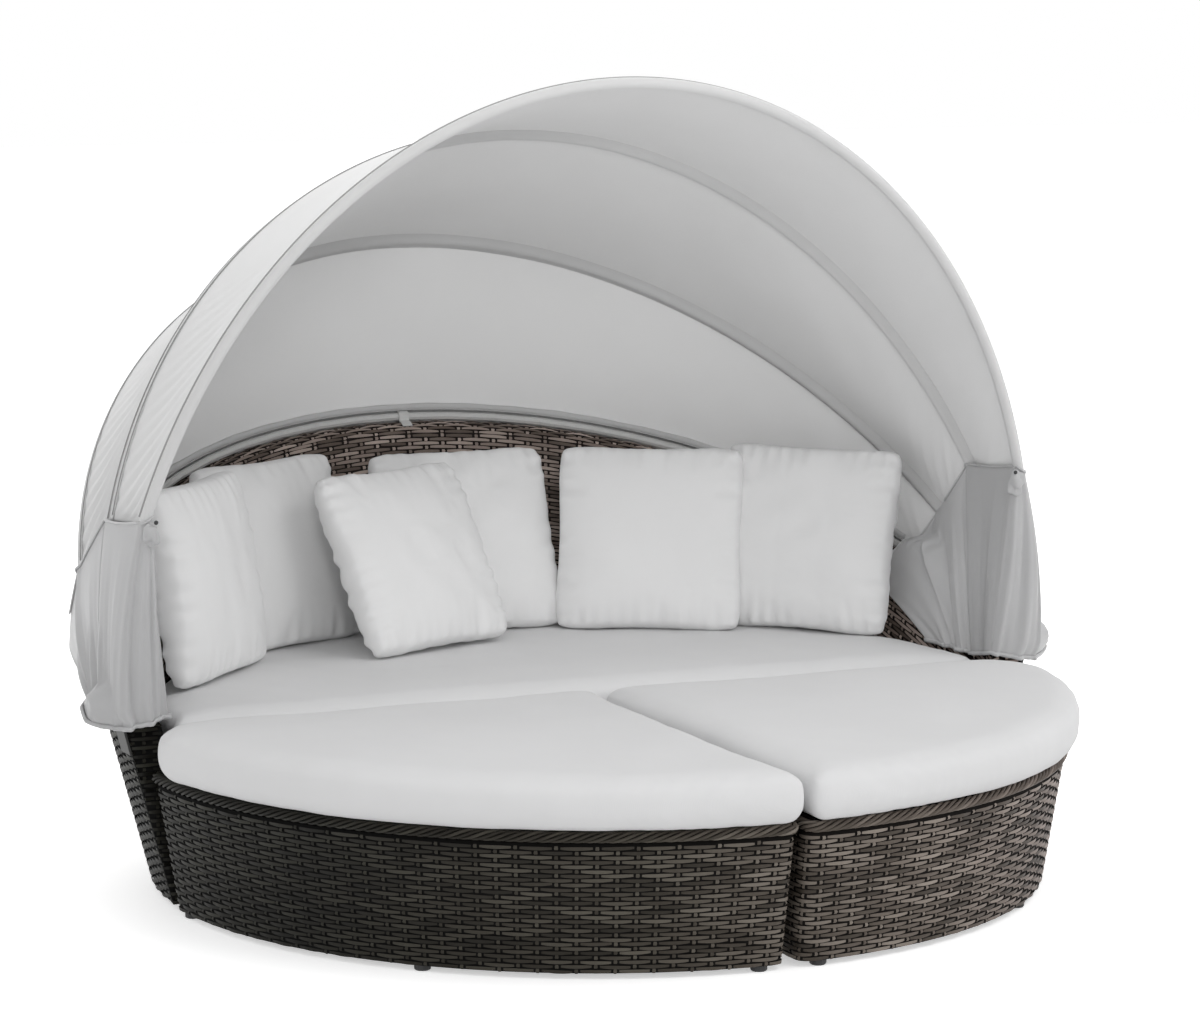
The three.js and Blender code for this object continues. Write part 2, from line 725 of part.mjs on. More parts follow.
// Half an ellipse from lug to lug. The ends run straight past the pivot and round off.
function hoopGeometry({ angle, width, height }) {
  const station = (turn, flat) => {
    const slope = new THREE.Vector2(-width * Math.sin(turn), height * Math.cos(turn)).normalize();
    return { across: width * Math.cos(turn), out: height * Math.sin(turn), slope, flat };
  };
  const taper = Array.from({ length: taperSteps + 1 }, (_, i) => i / taperSteps);
  const end = [
    ...[0, 0.5].map((share) => ({ out: share * lugLength, flat: 1 })),
    ...taper.map((share) => ({ out: lugLength + share * lugTaper, flat: 1 - share })),
    ...Array.from({ length: lowSteps - 1 }, (_, i) => ({
      out: mix(lugLength + lugTaper, hemReach, (i + 1) / lowSteps),
      flat: 0,
    })),
  ];
  const start = turnAt(height, hemReach);
  const stations = [
    ...end.map(({ out, flat }) => station(turnAt(height, out), flat)),
    ...panelShares.map((share) => station(mix(start, Math.PI - start, share), 0)),
    ...end.map(({ out, flat }) => station(Math.PI - turnAt(height, out), flat)).reverse(),
  ];
  const tips = (side) =>
    lugTipShares.map((share) => ({
      across: side * width,
      out: -lugRadius * share,
      slope: new THREE.Vector2(0, side),
      flat: 1,
      narrow: Math.sqrt(1 - share ** 2),
    }));
  const rings = [...tips(1), ...stations, ...tips(-1).reverse()].map((place) => {
    const { across, out, slope, flat, narrow = 1 } = place;
    const sharpness = mix(1, lugSharpness, flat);
    const thick = mix(hoopRadius, lugThickness / 2, flat);
    const wide = mix(hoopRadius, lugRadius, flat) * narrow;
    return Array.from({ length: tubeSides }, (_, k) => {
      const turn = (2 * Math.PI * (k + 0.5)) / tubeSides;
      const bend = (value) => Math.sign(value) * Math.abs(value) ** sharpness;
      const beside = wide * bend(Math.sin(turn));
      const off = thick * bend(Math.cos(turn));
      return inPlane(angle, across + off * slope.y, out - off * slope.x, beside);
    });
  });
  const boreRadius = boltRadius + boltSlack;
  const bored = new THREE.CylinderGeometry(boreRadius, boreRadius, 4 * width, 2 * tubeSides);
  bored.rotateZ(radians(90)).translate(0, pivotY, pivotZ);
  return cut(loft(rings, false), bored);
}

// The rearmost hoop lies along the top of the wall, and has a section under each strap.
const strapAngles = strapStations.map((step) => backAngles[step]);
const rearHoopEnd = 90 - THREE.MathUtils.radToDeg(railSize / rimBase);
function rearHoopPoint(angle) {
  const { radius, height } = backTop(angle);
  return around(angle, radius, height + hoopLift);
}

function rearHoop() {
  const end = rearHemAngle();
  const between = panelShares.map((share) => mix(-end, end, share));
  const low = (end + rearHoopEnd) / 2;
  const clear = (angle) => strapAngles.every((at) => Math.abs(angle - at) > leastStation);
  const stations = [-rearHoopEnd, -low, ...between, low, rearHoopEnd].filter(clear);
  const sorted = [...stations, ...strapAngles].sort((a, b) => a - b);
  return pipe(sorted.map(rearHoopPoint), hoopRadius);
}

// A strap follows the rounded top of the wall and arches over the rearmost hoop.
function strap(angle) {
  const turn = THREE.MathUtils.radToDeg(strapWidth / rimBase);
  const section = (at, rise) => {
    const { radius, height } = backTop(at);
    const shoulder = height - backCrown;
    const half = backThickness / 2;
    const middle = backRadius(shoulder) - half;
    const arch = hoopRadius + strapClearance + rise;
    const onTop = (degrees) => {
      const gap = strapSeat + rise;
      const t = radians(degrees);
      return around(at, middle + (half + gap) * Math.cos(t), shoulder + (backCrown + gap) * Math.sin(t));
    };
    const meet = THREE.MathUtils.radToDeg(Math.acos((arch + radius - middle) / (half + seat)));
    const meetInner = THREE.MathUtils.radToDeg(Math.acos((arch - radius + middle) / (half + seat)));
    const centre = height + hoopLift;
    const over = (degrees) =>
      around(at, radius + arch * Math.cos(radians(degrees)), centre + arch * Math.sin(radians(degrees)));
    const archTurns = Array.from({ length: strapArchSteps + 1 }, (_, i) => (180 * i) / strapArchSteps);
    return [
      ...[strapFoot, (strapFoot + meet) / 2, meet].map(onTop),
      ...archTurns.map(over),
      ...[180 - meetInner, 180 - (strapFoot + meetInner) / 2, 180 - strapFoot].map(onTop),
    ];
  };
  const angles = [angle - turn / 2, angle, angle + turn / 2];
  return shell(
    angles.map((at) => section(at, strapThickness)),
    angles.map((at) => section(at, 0)),
    false,
  );
}

// Bracket on the outside of an arm, bent to the wall's slope and upright at the pivot
function bracket() {
  const foot = armHeight - plateFootDrop;
  const outline = [
    new THREE.Vector2(backRadius(foot) + seat, foot),
    new THREE.Vector2(backRadius(foot) + seat + plateThickness, foot),
    new THREE.Vector2(stackX, armHeight),
    new THREE.Vector2(stackX, pivotZ + plateTop),
    new THREE.Vector2(plateX, pivotZ + plateTop),
    new THREE.Vector2(plateX, armHeight),
  ];
  const geometry = plate(outline, null, 0, plateWidth);
  geometry.rotateX(radians(90)).translate(0, pivotY + plateWidth / 2, 0);
  const boreRadius = boltRadius + boltSlack;
  const bored = new THREE.CylinderGeometry(boreRadius, boreRadius, plateX, 2 * tubeSides);
  bored.rotateZ(radians(90)).translate(plateX, pivotY, pivotZ);
  return cut(geometry, bored);
}

// Bolt and knob, turned about the pivot axis
function turned(profile, steps) {
  const geometry = new THREE.LatheGeometry(profile.map(([r, x]) => new THREE.Vector2(r, x)), steps);
  geometry.rotateZ(radians(-90));
  return geometry.translate(0, pivotY, pivotZ);
}

function bolt() {
  const head = plateX - seat;
  return turned(
    [
      [0, head - boltHeadThickness],
      [boltHeadRadius, head - boltHeadThickness],
      [boltHeadRadius, head],
      [boltRadius, head],
      [boltRadius, stackEnd + knobBore - seat],
      [0, stackEnd + knobBore - seat],
    ],
    2 * tubeSides,
  );
}

function knob() {
  const count = knobLobes * knobLobeSteps;
  const outline = Array.from({ length: count }, (_, i) => {
    const turn = (2 * Math.PI * i) / count;
    const r = knobRadius - knobLobe * (1 - Math.cos(knobLobes * turn)) * 0.5;
    return new THREE.Vector2(r * Math.cos(turn), r * Math.sin(turn));
  });
  const body = plate(outline, null, 0, knobThickness);
  const boreRadius = boltRadius + boltSlack;
  const bore = new THREE.CylinderGeometry(boreRadius, boreRadius, 2 * knobBore, 2 * tubeSides);
  bore.rotateX(radians(90));
  const made = cut(body, bore);
  made.rotateY(radians(90));
  return made.translate(stackEnd + seat, pivotY, pivotZ);
}

// Canopy cloth. A hoop gives, for a share from the left hem to the right hem, a point of its middle line,
// the way along it, the way out from it, the way forward square to its plane, and the cloth's distance.
function hoopLine({ angle, width, height }) {
  const start = turnAt(height, hemReach);
  const place = (share) => {
    const turn = mix(Math.PI - start, start, share);
    return inPlane(angle, width * Math.cos(turn), height * Math.sin(turn), 0);
  };
  return withDirections(place, angle, hoopRadius + clothClearance);
}

const riseAngle = THREE.MathUtils.radToDeg(Math.atan(backRise));
function rearHemAngle() {
  const reach = pivotY - backY + hemReach * Math.cos(radians(riseAngle));
  return THREE.MathUtils.radToDeg(Math.acos(reach / (rimBase + backFlare * backRise * reach)));
}

function rearHoopLine() {
  const end = rearHemAngle();
  const over = hoopRadius + strapClearance + strapThickness + clothClearance;
  return withDirections((share) => rearHoopPoint(mix(-end, end, share)), riseAngle, over);
}

function withDirections(place, angle, over) {
  const forward = inPlane(angle, 0, 0, 1).sub(inPlane(angle, 0, 0, 0));
  const step = 1e-3;
  return (share) => {
    const along = place(Math.min(1, share + step)).sub(place(Math.max(0, share - step))).normalize();
    return { point: place(share), along, out: forward.clone().cross(along).normalize(), forward, over };
  };
}

// One column of a panel, from its lower to its upper hoop. The cloth lies round each hoop from the way out
// to where it leaves for the other hoop, and it dips between them.
function panelColumn(a, b, rise, wrap) {
  const chord = b.point.clone().sub(a.point).normalize();
  const leave = (hoop) => {
    const square = chord.clone().cross(hoop.along).normalize();
    return square.multiplyScalar(Math.sign(square.dot(hoop.out)));
  };
  const at = (hoop, way) => hoop.point.clone().addScaledVector(way, hoop.over + rise);
  const from = at(a, leave(a));
  const to = at(b, leave(b));
  const column = [at(a, a.out).addScaledVector(a.forward, seat / 2), from];
  for (let j = 1; j < panelBands; j++) {
    const share = j / panelBands;
    const inward = a.out.clone().add(b.out).normalize();
    column.push(from.clone().lerp(to, share).addScaledVector(inward, -clothSag * 4 * share * (1 - share)));
  }
  column.push(to, at(b, b.out).addScaledVector(b.forward, wrap ? 0 : -seat / 2));
  for (let k = 1; wrap && k <= wrapSteps; k++) {
    const turn = (Math.PI * k) / wrapSteps;
    const way = b.out.clone().multiplyScalar(Math.cos(turn)).addScaledVector(b.forward, Math.sin(turn));
    column.push(at(b, way));
  }
  return column;
}

// A panel spans two hoops. Where wrap is set, it also turns round the upper hoop.
function panel(lower, upper, wrap) {
  const face = (rise) => panelShares.map((share) => panelColumn(lower(share), upper(share), rise, wrap));
  return shell(face(clothThickness), face(0), false);
}

// A flap closes the side under the hem. It hangs outside the hoops' ends, gathers in folds and ends at
// the arm.
function flap(side) {
  const end = side > 0 ? 1 : 0;
  const lines = [rearHoopLine(), hoopLine(hoops.back), hoopLine(hoops.middle), hoopLine(hoops.front)];
  const rise = clothThickness / 2;
  const hem = [0, 1, 2].flatMap((k) => panelColumn(lines[k](end), lines[k + 1](end), rise, false));
  const foot = stackEnd + seat + knobThickness + flapKnobGap + flapFoldDepth + flapThickness / 2;
  const pivot = new THREE.Vector3(side * foot, pivotY, pivotZ);
  const tops = hem.flatMap((p, i) => {
    const next = hem[Math.min(i + 1, hem.length - 1)];
    const parts = i < hem.length - 1 && p.distanceTo(next) > flapThickness ? flapSplit : 1;
    return Array.from({ length: parts }, (_, k) => p.clone().lerp(next, k / parts));
  });
  const face = (half) =>
    tops.map((point, i) => {
      const share = i / (tops.length - 1);
      const top = point.clone().addScaledVector(pivot.clone().sub(point).normalize(), 3 * seat);
      const y = mix(flapFootRear, flapFootFront, share);
      return Array.from({ length: flapBands + 1 }, (_, j) => {
        const down = j / flapBands;
        const fold = flapFoldDepth * down * Math.sin(2 * Math.PI * flapFoldCount * share);
        const x = mix(Math.abs(top.x), foot, Math.sin((Math.PI / 2) * down)) + fold + half;
        return new THREE.Vector3(side * x, mix(top.y, y, down), mix(top.z, armHeight - flapFootDrop, down));
      });
    });
  return shell(face(flapThickness / 2), face(-flapThickness / 2), false);
}

// The daybed
const daybed = new THREE.Group();
const round = new THREE.Group();
daybed.add(round);

round.add(ottoman("left_ottoman", true), ottoman("right_ottoman", false));

round.add(
  mesh("sofa_frame", sofaFrame(), TUBE),
  mesh("sofa_deck", sofaDeck(), WICKER),
  mesh("sofa_back_skin", backSkin(), WICKER),
  mesh("sofa_front_panel", frontPanel(), WICKER),
  mesh("sofa_front_braid", sofaBraid(), WICKER),
  mesh("sofa_cushion", sofaCushion(), CLOTH),
);
const glideRing = backRadius(groundGap) - skinThickness - seat - railSize / 2;
sofaGlideAngles.forEach((angle, i) => {
  const spot = around(angle, glideRing, 0);
  round.add(mesh(`sofa_glide_${i + 1}`, glide(spot.x, spot.y), PLASTIC));
});
pillowPlaceShares.forEach((place, i) => round.add(pillow(place, i)));

for (const [name, side] of [["left", -1], ["right", 1]]) {
  for (const [piece, geometry, finish] of [
    ["pivot_bracket", bracket(), TUBE],
    ["pivot_bolt", bolt(), BOLT],
    ["pivot_knob", knob(), PLASTIC],
  ]) {
    if (side < 0) geometry.translate(0, -pivotY, 0).rotateZ(Math.PI).translate(0, pivotY, 0);
    round.add(mesh(`${name}_${piece}`, geometry, finish));
  }
  round.add(mesh(`${name}_flap`, flap(side), CANOPY));
}

round.add(
  mesh("front_hoop", hoopGeometry(hoops.front), TUBE),
  mesh("middle_hoop", hoopGeometry(hoops.middle), TUBE),
  mesh("back_hoop", hoopGeometry(hoops.back), TUBE),
  mesh("rear_hoop", rearHoop(), TUBE),
  mesh("canopy_rear_panel", panel(rearHoopLine(), hoopLine(hoops.back), false), CANOPY),
  mesh("canopy_middle_panel", panel(hoopLine(hoops.back), hoopLine(hoops.middle), false), CANOPY),
  mesh("canopy_front_panel", panel(hoopLine(hoops.middle), hoopLine(hoops.front), true), CANOPY),
);
strapAngles.forEach((angle, i) => round.add(mesh(`hoop_strap_${i + 1}`, strap(angle), TUBE)));

daybed.updateMatrixWorld(true);
const box = new THREE.Box3().setFromObject(round, true);
const middle = box.getCenter(new THREE.Vector3());
round.position.set(-middle.x, -middle.y, -box.min.z);

export default daybed;
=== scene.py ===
# %% [markdown]
# # A round outdoor daybed with a folding canopy
# The daybed is a half-round wicker sofa under a cloth canopy, with two quarter-round ottomans in front
# of it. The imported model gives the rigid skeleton. This lesson dresses it: woven strands over the walls,
# white cushions and pillows, and the canopy's cloth over its hoops.
# %% Load the frame
import json
import math

import bpy
import numpy as np
from mathutils import Matrix, Vector


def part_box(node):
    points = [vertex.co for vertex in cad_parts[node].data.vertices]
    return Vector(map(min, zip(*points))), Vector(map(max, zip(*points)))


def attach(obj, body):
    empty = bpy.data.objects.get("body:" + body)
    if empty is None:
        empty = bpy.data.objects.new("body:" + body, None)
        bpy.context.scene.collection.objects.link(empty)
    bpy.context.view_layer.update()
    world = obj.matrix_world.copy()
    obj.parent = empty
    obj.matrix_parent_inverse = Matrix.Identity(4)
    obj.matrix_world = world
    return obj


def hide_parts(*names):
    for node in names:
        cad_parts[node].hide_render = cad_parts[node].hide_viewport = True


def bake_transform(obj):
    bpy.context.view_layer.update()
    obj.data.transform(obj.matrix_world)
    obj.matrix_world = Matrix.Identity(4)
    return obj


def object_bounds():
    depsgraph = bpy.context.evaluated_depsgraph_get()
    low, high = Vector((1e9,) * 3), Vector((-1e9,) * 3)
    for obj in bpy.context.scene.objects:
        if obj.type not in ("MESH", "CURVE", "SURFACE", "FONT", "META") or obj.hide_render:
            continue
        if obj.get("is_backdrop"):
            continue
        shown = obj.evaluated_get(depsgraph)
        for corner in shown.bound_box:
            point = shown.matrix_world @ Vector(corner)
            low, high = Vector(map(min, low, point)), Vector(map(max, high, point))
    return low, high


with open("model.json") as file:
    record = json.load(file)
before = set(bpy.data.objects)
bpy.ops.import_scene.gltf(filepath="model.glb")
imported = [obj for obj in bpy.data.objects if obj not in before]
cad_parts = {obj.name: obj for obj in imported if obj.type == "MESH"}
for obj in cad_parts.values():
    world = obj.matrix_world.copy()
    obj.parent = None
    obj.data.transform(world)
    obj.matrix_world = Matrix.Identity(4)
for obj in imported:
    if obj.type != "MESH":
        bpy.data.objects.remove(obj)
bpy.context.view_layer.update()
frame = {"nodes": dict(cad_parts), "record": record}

scene = bpy.context.scene
nodes = frame["nodes"]

# %% [markdown]
# ## Sizes that the model and this scene share
# A piece that lies on the model has to follow the model's own rules, so its named sizes are repeated
# here, in metres. The round of the seats is centred on y = CENTRE, a little in front of the middle of
# the whole daybed's box.
# %% Sizes
CENTRE = -0.070148
SEAT = 0.0003
GROUND_GAP = 0.012
RIM_RADIUS, RIM_HEIGHT, RIM_CORNER = 1.0, 0.3, 0.03
SPLIT, FOOT_SPLIT = 0.004, 0.0135
BRAID_RADIUS, BRAID_PROUD = 0.012, 0.004
OTTOMAN_FOOT = 0.947
WALL_TOP = RIM_HEIGHT - 2 * BRAID_RADIUS - SEAT
BACK_FOOT, BACK_FLARE, BACK_THICK, BACK_CROWN = 0.94, 0.26, 0.076, 0.026
ARM_HEIGHT, BACK_RISE = 0.41, 0.39
FRONT_EDGE = SPLIT + BRAID_PROUD
BACK_Y = FRONT_EDGE + 0.008 + SEAT
HOOP_RADIUS = 0.0095
RIM_BASE = BACK_FOOT + BACK_FLARE * ARM_HEIGHT - BACK_THICK / 2
HOOP_LIFT = (HOOP_RADIUS + SEAT) * math.hypot(1, BACK_RISE)
PIVOT_Y = 0.04
PIVOT_Z = ARM_HEIGHT + BACK_RISE * (PIVOT_Y - BACK_Y) + HOOP_LIFT
CUSHION_THICK = 0.105
HEM_REACH = 0.385
print("pivot", round(PIVOT_Y + CENTRE, 4), round(PIVOT_Z, 4))


def back_radius(z):
    return BACK_FOOT + BACK_FLARE * z


def back_top(angle):
    """Radius and height of the middle of the wall's top, at an angle from the rear."""
    c = np.cos(angle)
    reach = RIM_BASE * c / (1 - BACK_FLARE * BACK_RISE * c)
    return RIM_BASE + BACK_FLARE * BACK_RISE * reach, ARM_HEIGHT + BACK_RISE * reach


def around(angle, radius, z):
    x, y = radius * np.sin(angle), CENTRE + BACK_Y + radius * np.cos(angle)
    return np.stack(np.broadcast_arrays(x, y, z), axis=-1)


# %% [markdown]
# ## Camera and lamps
# The photograph looks at the daybed from the sitter's front right, a little above the cushions, with a
# long lens. Large soft lamps give the even light of a product studio, and a weak spot reaches in under
# the canopy.
# %% Camera
def put(name, data, place, target):
    """Hangs a camera or a lamp at a place, pointed at a target."""
    made = bpy.data.objects.new(name, data)
    scene.collection.objects.link(made)
    made.location = place
    made.rotation_euler = (Vector(target) - Vector(place)).to_track_quat("-Z", "Y").to_euler()
    return made


camera = bpy.data.cameras.new("camera")
camera.lens, camera.sensor_width, camera.clip_end = 125.94, 36, 60
eye, target = (-3.5379, -8.0535 + CENTRE, 1.9882), (0.00827, CENTRE, 0.77326)
scene.camera = put("camera", camera, eye, target)
scene.view_settings.view_transform = "Standard"
print("lens", camera.lens)

# %% Lamps
LAMP_TARGET = (0, 0, 0.5)
lamps = [
    ("key", (2.8, -3.8, 6.2), 4.5, 125),
    ("fill", (-4.8, -4.0, 3.8), 4.5, 8),
    ("rear", (0.5, 5.0, 5.0), 4.0, 125),
]
for name, place, size, power in lamps:
    lamp = bpy.data.lights.new(name, "AREA")
    lamp.size, lamp.energy = size, power
    put(name, lamp, place, LAMP_TARGET)
spot = bpy.data.lights.new("under the canopy", "SPOT")
spot.energy, spot.spot_size, spot.spot_blend, spot.shadow_soft_size = 340, math.radians(18.5), 0.9, 0.6
put("under the canopy", spot, (-2.2, -6.4, 2.7), (0.2, 0.5, 0.93))
print("lamps", len(lamps) + 1)

# %% [markdown]
# ## Small helpers
# Blender's operators work on whatever is selected, so every step starts from a clean selection. The
# mesh's points are read and written as one array, which keeps long formulas out of slow loops.
# %% Helpers
rng = np.random.default_rng(7)


def unit(v):
    return v / np.linalg.norm(v, axis=-1, keepdims=True)


def reach_along(line):
    """The distance from a line's first point to each of its points."""
    return np.concatenate([[0], np.cumsum(np.linalg.norm(np.diff(line, axis=0), axis=1))])


def closed_line(line):
    return np.vstack([line, line[:1]])


def deselect():
    if bpy.context.object and bpy.context.object.mode != "OBJECT":
        bpy.ops.object.mode_set(mode="OBJECT")
    bpy.ops.object.select_all(action="DESELECT")


def pick(piece):
    deselect()
    piece.select_set(True)
    bpy.context.view_layer.objects.active = piece
    return piece


def points(piece):
    co = np.empty(3 * len(piece.data.vertices), np.float32)
    piece.data.vertices.foreach_get("co", co)
    return co.reshape(-1, 3).astype(float)


def place_points(piece, co):
    piece.data.vertices.foreach_set("co", np.asarray(co, np.float32).ravel())
    piece.data.update()


def quads(piece):
    return [tuple(p.vertices) for p in piece.data.polygons]


def grid(name, across, along):
    """A flat grid of faces, -1 to 1 each way, ready to be shaped."""
    deselect()
    bpy.ops.mesh.primitive_grid_add(x_subdivisions=across, y_subdivisions=along, size=2)
    piece = bpy.context.object
    piece.name = piece.data.name = name
    return piece


def mesh_piece(name, co, faces):
    data = bpy.data.meshes.new(name)
    data.from_pydata(np.asarray(co, float).tolist(), [], [list(f) for f in faces])
    data.update()
    piece = bpy.data.objects.new(name, data)
    scene.collection.objects.link(piece)
    return smooth(piece)


def modify(piece, kind, **settings):
    modifier = piece.modifiers.new(kind.lower(), kind)
    for key, value in settings.items():
        setattr(modifier, key, value)
    pick(piece)
    bpy.ops.object.modifier_apply(modifier=modifier.name)
    return piece


def smooth(piece):
    piece.data.polygons.foreach_set("use_smooth", [True] * len(piece.data.polygons))
    return piece


def face_outwards(piece):
    pick(piece)
    bpy.ops.object.mode_set(mode="EDIT")
    bpy.ops.mesh.select_all(action="SELECT")
    bpy.ops.mesh.normals_make_consistent(inside=False)
    bpy.ops.object.mode_set(mode="OBJECT")
    return piece


def normals_of(piece):
    return np.array([v.normal for v in piece.data.vertices])


def finish_piece(piece, material, body=None, replaces=(), second=None):
    """Gives a piece its material, or two where its faces carry an index, hides the parts it replaces and
    hangs it on its body.
    """
    index = np.zeros(len(piece.data.polygons), np.int32)
    piece.data.polygons.foreach_get("material_index", index)
    piece.data.materials.clear()
    piece.data.materials.append(material)
    if second:
        piece.data.materials.append(second)
        piece.data.polygons.foreach_set("material_index", index)
    if replaces:
        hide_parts(*replaces)
    if body:
        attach(piece, body)
    print(piece.name, len(piece.data.polygons), "faces")
    return piece


# %% [markdown]
# ## Finishes
# Every finish is worked out from a few nodes: the main colour, a fine pattern that only shows close up,
# and a bump of the same pattern so that it catches the light.
# %% Node helper
def new_material(name, **values):
    made = bpy.data.materials.new(name)
    made.use_nodes = True
    shader = made.node_tree.nodes["Principled BSDF"]
    for key, value in values.items():
        shader.inputs[key.replace("_", " ")].default_value = value
    return made, made.node_tree, shader


def node(tree, kind, *sockets, **inputs):
    """A shader node, whose inputs are filled in their order and by name with sockets or values."""
    made = tree.nodes.new("ShaderNode" + kind)
    for key in [key for key in inputs if key.startswith("set_")]:
        setattr(made, key[4:], inputs.pop(key))
    named = {key.replace("_", " "): value for key, value in inputs.items()}
    for key, value in [*enumerate(sockets), *named.items()]:
        if isinstance(value, bpy.types.NodeSocket):
            tree.links.new(value, made.inputs[key])
        else:
            made.inputs[key].default_value = value
    return made


def calc(tree, operation, *values):
    return node(tree, "Math", *values, set_operation=operation).outputs[0]


def noise(tree, point, scale, detail):
    return node(tree, "TexNoise", Vector=point, Scale=scale, Detail=detail).outputs["Fac"]


def ramp(tree, value, stops):
    made = node(tree, "ValToRGB", Fac=value)
    elements = made.color_ramp.elements
    while len(elements) < len(stops):
        elements.new(0.5)
    for element, (place, colour) in zip(elements, stops):
        element.position, element.color = place, (*colour, 1)
    return made.outputs["Color"]


def object_point(tree, scale=(1, 1, 1)):
    place = node(tree, "TexCoord").outputs["Object"]
    return node(tree, "Mapping", Vector=place, Scale=scale).outputs["Vector"]


def bump(tree, shader, height, strength, distance):
    made = node(tree, "Bump", Strength=strength, Distance=distance, Height=height)
    tree.links.new(made.outputs["Normal"], shader.inputs["Normal"])


def cloudy(tree, shader, value, colour, dark, low):
    """The base colour, a little darker where the value is low."""
    shade = ramp(tree, value, [(low, tuple(dark * c for c in colour)), (1 - low, colour)])
    tree.links.new(shade, shader.inputs["Base Color"])


# %% Woven strands
# Painted shade and light: a multiplier on the strands' colour, near black at the left front where the daybed
# lies in shade, and above one towards the lit right and rear.
painted_shade_stops = [
    (0.4, (0.09, 0.094, 0.078)), (0.58, (0.36, 0.35, 0.305)), (0.765, (1.0, 0.93, 0.86)),
    (0.94, (0.95, 0.85, 0.81)), (1.0, (1.7, 1.52, 1.44)),
]


def wicker_material(name, stops, roughness):
    """Strands of mixed tones, with painted shade and light: darkened to near black at the daybed's left front
    and lightened towards the right and the rear.
    """
    made, tree, shader = new_material(name, Roughness=roughness, Specular_IOR_Level=0.16)
    tone = node(tree, "Attribute", set_attribute_name="tone").outputs["Fac"]
    point = object_point(tree)
    streak = noise(tree, object_point(tree, (1, 1, 5)), 160.0, 3.0)
    patchy = calc(tree, "MULTIPLY_ADD", noise(tree, point, 7.0, 3.0), 0.5, tone)
    streaky = calc(tree, "MULTIPLY_ADD", streak, 0.3, patchy)
    colour = ramp(tree, calc(tree, "MULTIPLY", streaky, 0.56), stops)
    place = node(tree, "SeparateXYZ", Vector=point).outputs
    # Painted shade: the place across and towards the rear picks the multiplier from the stops above.
    across = node(tree, "MapRange", place["X"], -0.95, 0.95, 0.36, 1.0).outputs[0]
    behind = node(tree, "MapRange", place["Y"], 0.25, 1.0, 0.0, 0.75).outputs[0]
    painted_shade = ramp(tree, calc(tree, "ADD", across, behind), painted_shade_stops)
    painted_shade_colour = node(tree, "VectorMath", colour, painted_shade, set_operation="MULTIPLY")
    tree.links.new(painted_shade_colour.outputs[0], shader.inputs["Base Color"])
    bump(tree, shader, streak, 0.35, 0.0006)
    return made


strand_stops = [
    (0.05, (0.028, 0.025, 0.022)), (0.3, (0.085, 0.075, 0.066)), (0.5, (0.17, 0.152, 0.139)),
    (0.72, (0.29, 0.268, 0.25)), (0.95, (0.46, 0.43, 0.405)),
]
strand_finish = wicker_material("woven strand", strand_stops, 0.5)
# Painted shade: the sheets behind the strands, the rope cores and the model's wicker take this near-black
# finish as the shadow between strands.
gap_stops = [(0.1, (0.006, 0.005, 0.005)), (0.9, (0.02, 0.017, 0.015))]
gap_finish = wicker_material("shadow between strands", gap_stops, 0.8)
print("strand finishes 2")

# %% White canvas and grey canopy cloth
def cloth_material(name, colour, weave, roughness, sheen, fold, through=0.0):
    """Cloth with threads that cross, thick and thin ones, and light that passes through."""
    made, tree, shader = new_material(
        name, Roughness=roughness, Sheen_Weight=sheen, Subsurface_Weight=through,
        Subsurface_Radius=(1, 1, 1), Subsurface_Scale=0.004, Specular_IOR_Level=0.25)
    point = object_point(tree)
    height = noise(tree, object_point(tree, (1, 1, 6)), 90.0, 3.0)
    for way in ("X", "Y", "Z"):
        threads = node(tree, "TexWave", Vector=point, Scale=weave, set_bands_direction=way).outputs["Fac"]
        height = calc(tree, "ADD", height, threads)
    cloudy(tree, shader, noise(tree, point, 3.0, 4.0), colour, 0.955, 0.25)
    bump(tree, shader, height, fold, 0.0004)
    return made


# Painted light: the cushions and the pillows are one white cloth. The pillow covers are painted lighter than
# the cushions' canvas to make up for the shade they sit in under the canopy.
canvas_finish = cloth_material("white canvas", (0.8, 0.8, 0.805), 260.0, 0.9, 0.15, 0.25)
pillow_lightened_finish = cloth_material("white pillow cover", (0.92, 0.92, 0.92), 300.0, 0.9, 0.15, 0.2)
canopy_finish = cloth_material("canopy cloth", (0.74, 0.74, 0.74), 420.0, 0.7, 0.1, 0.12, 0.7)
flap_finish = cloth_material("side curtain cloth", (0.52, 0.52, 0.525), 420.0, 0.38, 0.1, 0.1, 0.55)
# Painted light: the inner layer is the same satin as the outer one, painted lighter to make up for the shade
# it hangs in over the arm, under the canopy.
inner_layer_lightened_finish = cloth_material("side curtain inner layer painted lighter", (0.68, 0.68, 0.685), 420.0, 0.38, 0.1, 0.1, 0.55)
hem_finish = cloth_material("hem and sleeve cloth", (0.66, 0.66, 0.66), 420.0, 0.7, 0.1, 0.15)
print("cloth finishes 6")

# %% Metal and plastic
def plain_material(name, colour, metal, roughness, grain, strength):
    made, tree, shader = new_material(name, Metallic=metal, Roughness=roughness)
    speck = noise(tree, object_point(tree), grain, 4.0)
    cloudy(tree, shader, speck, colour, 0.82, 0.3)
    bump(tree, shader, speck, strength, 0.0003)
    return made


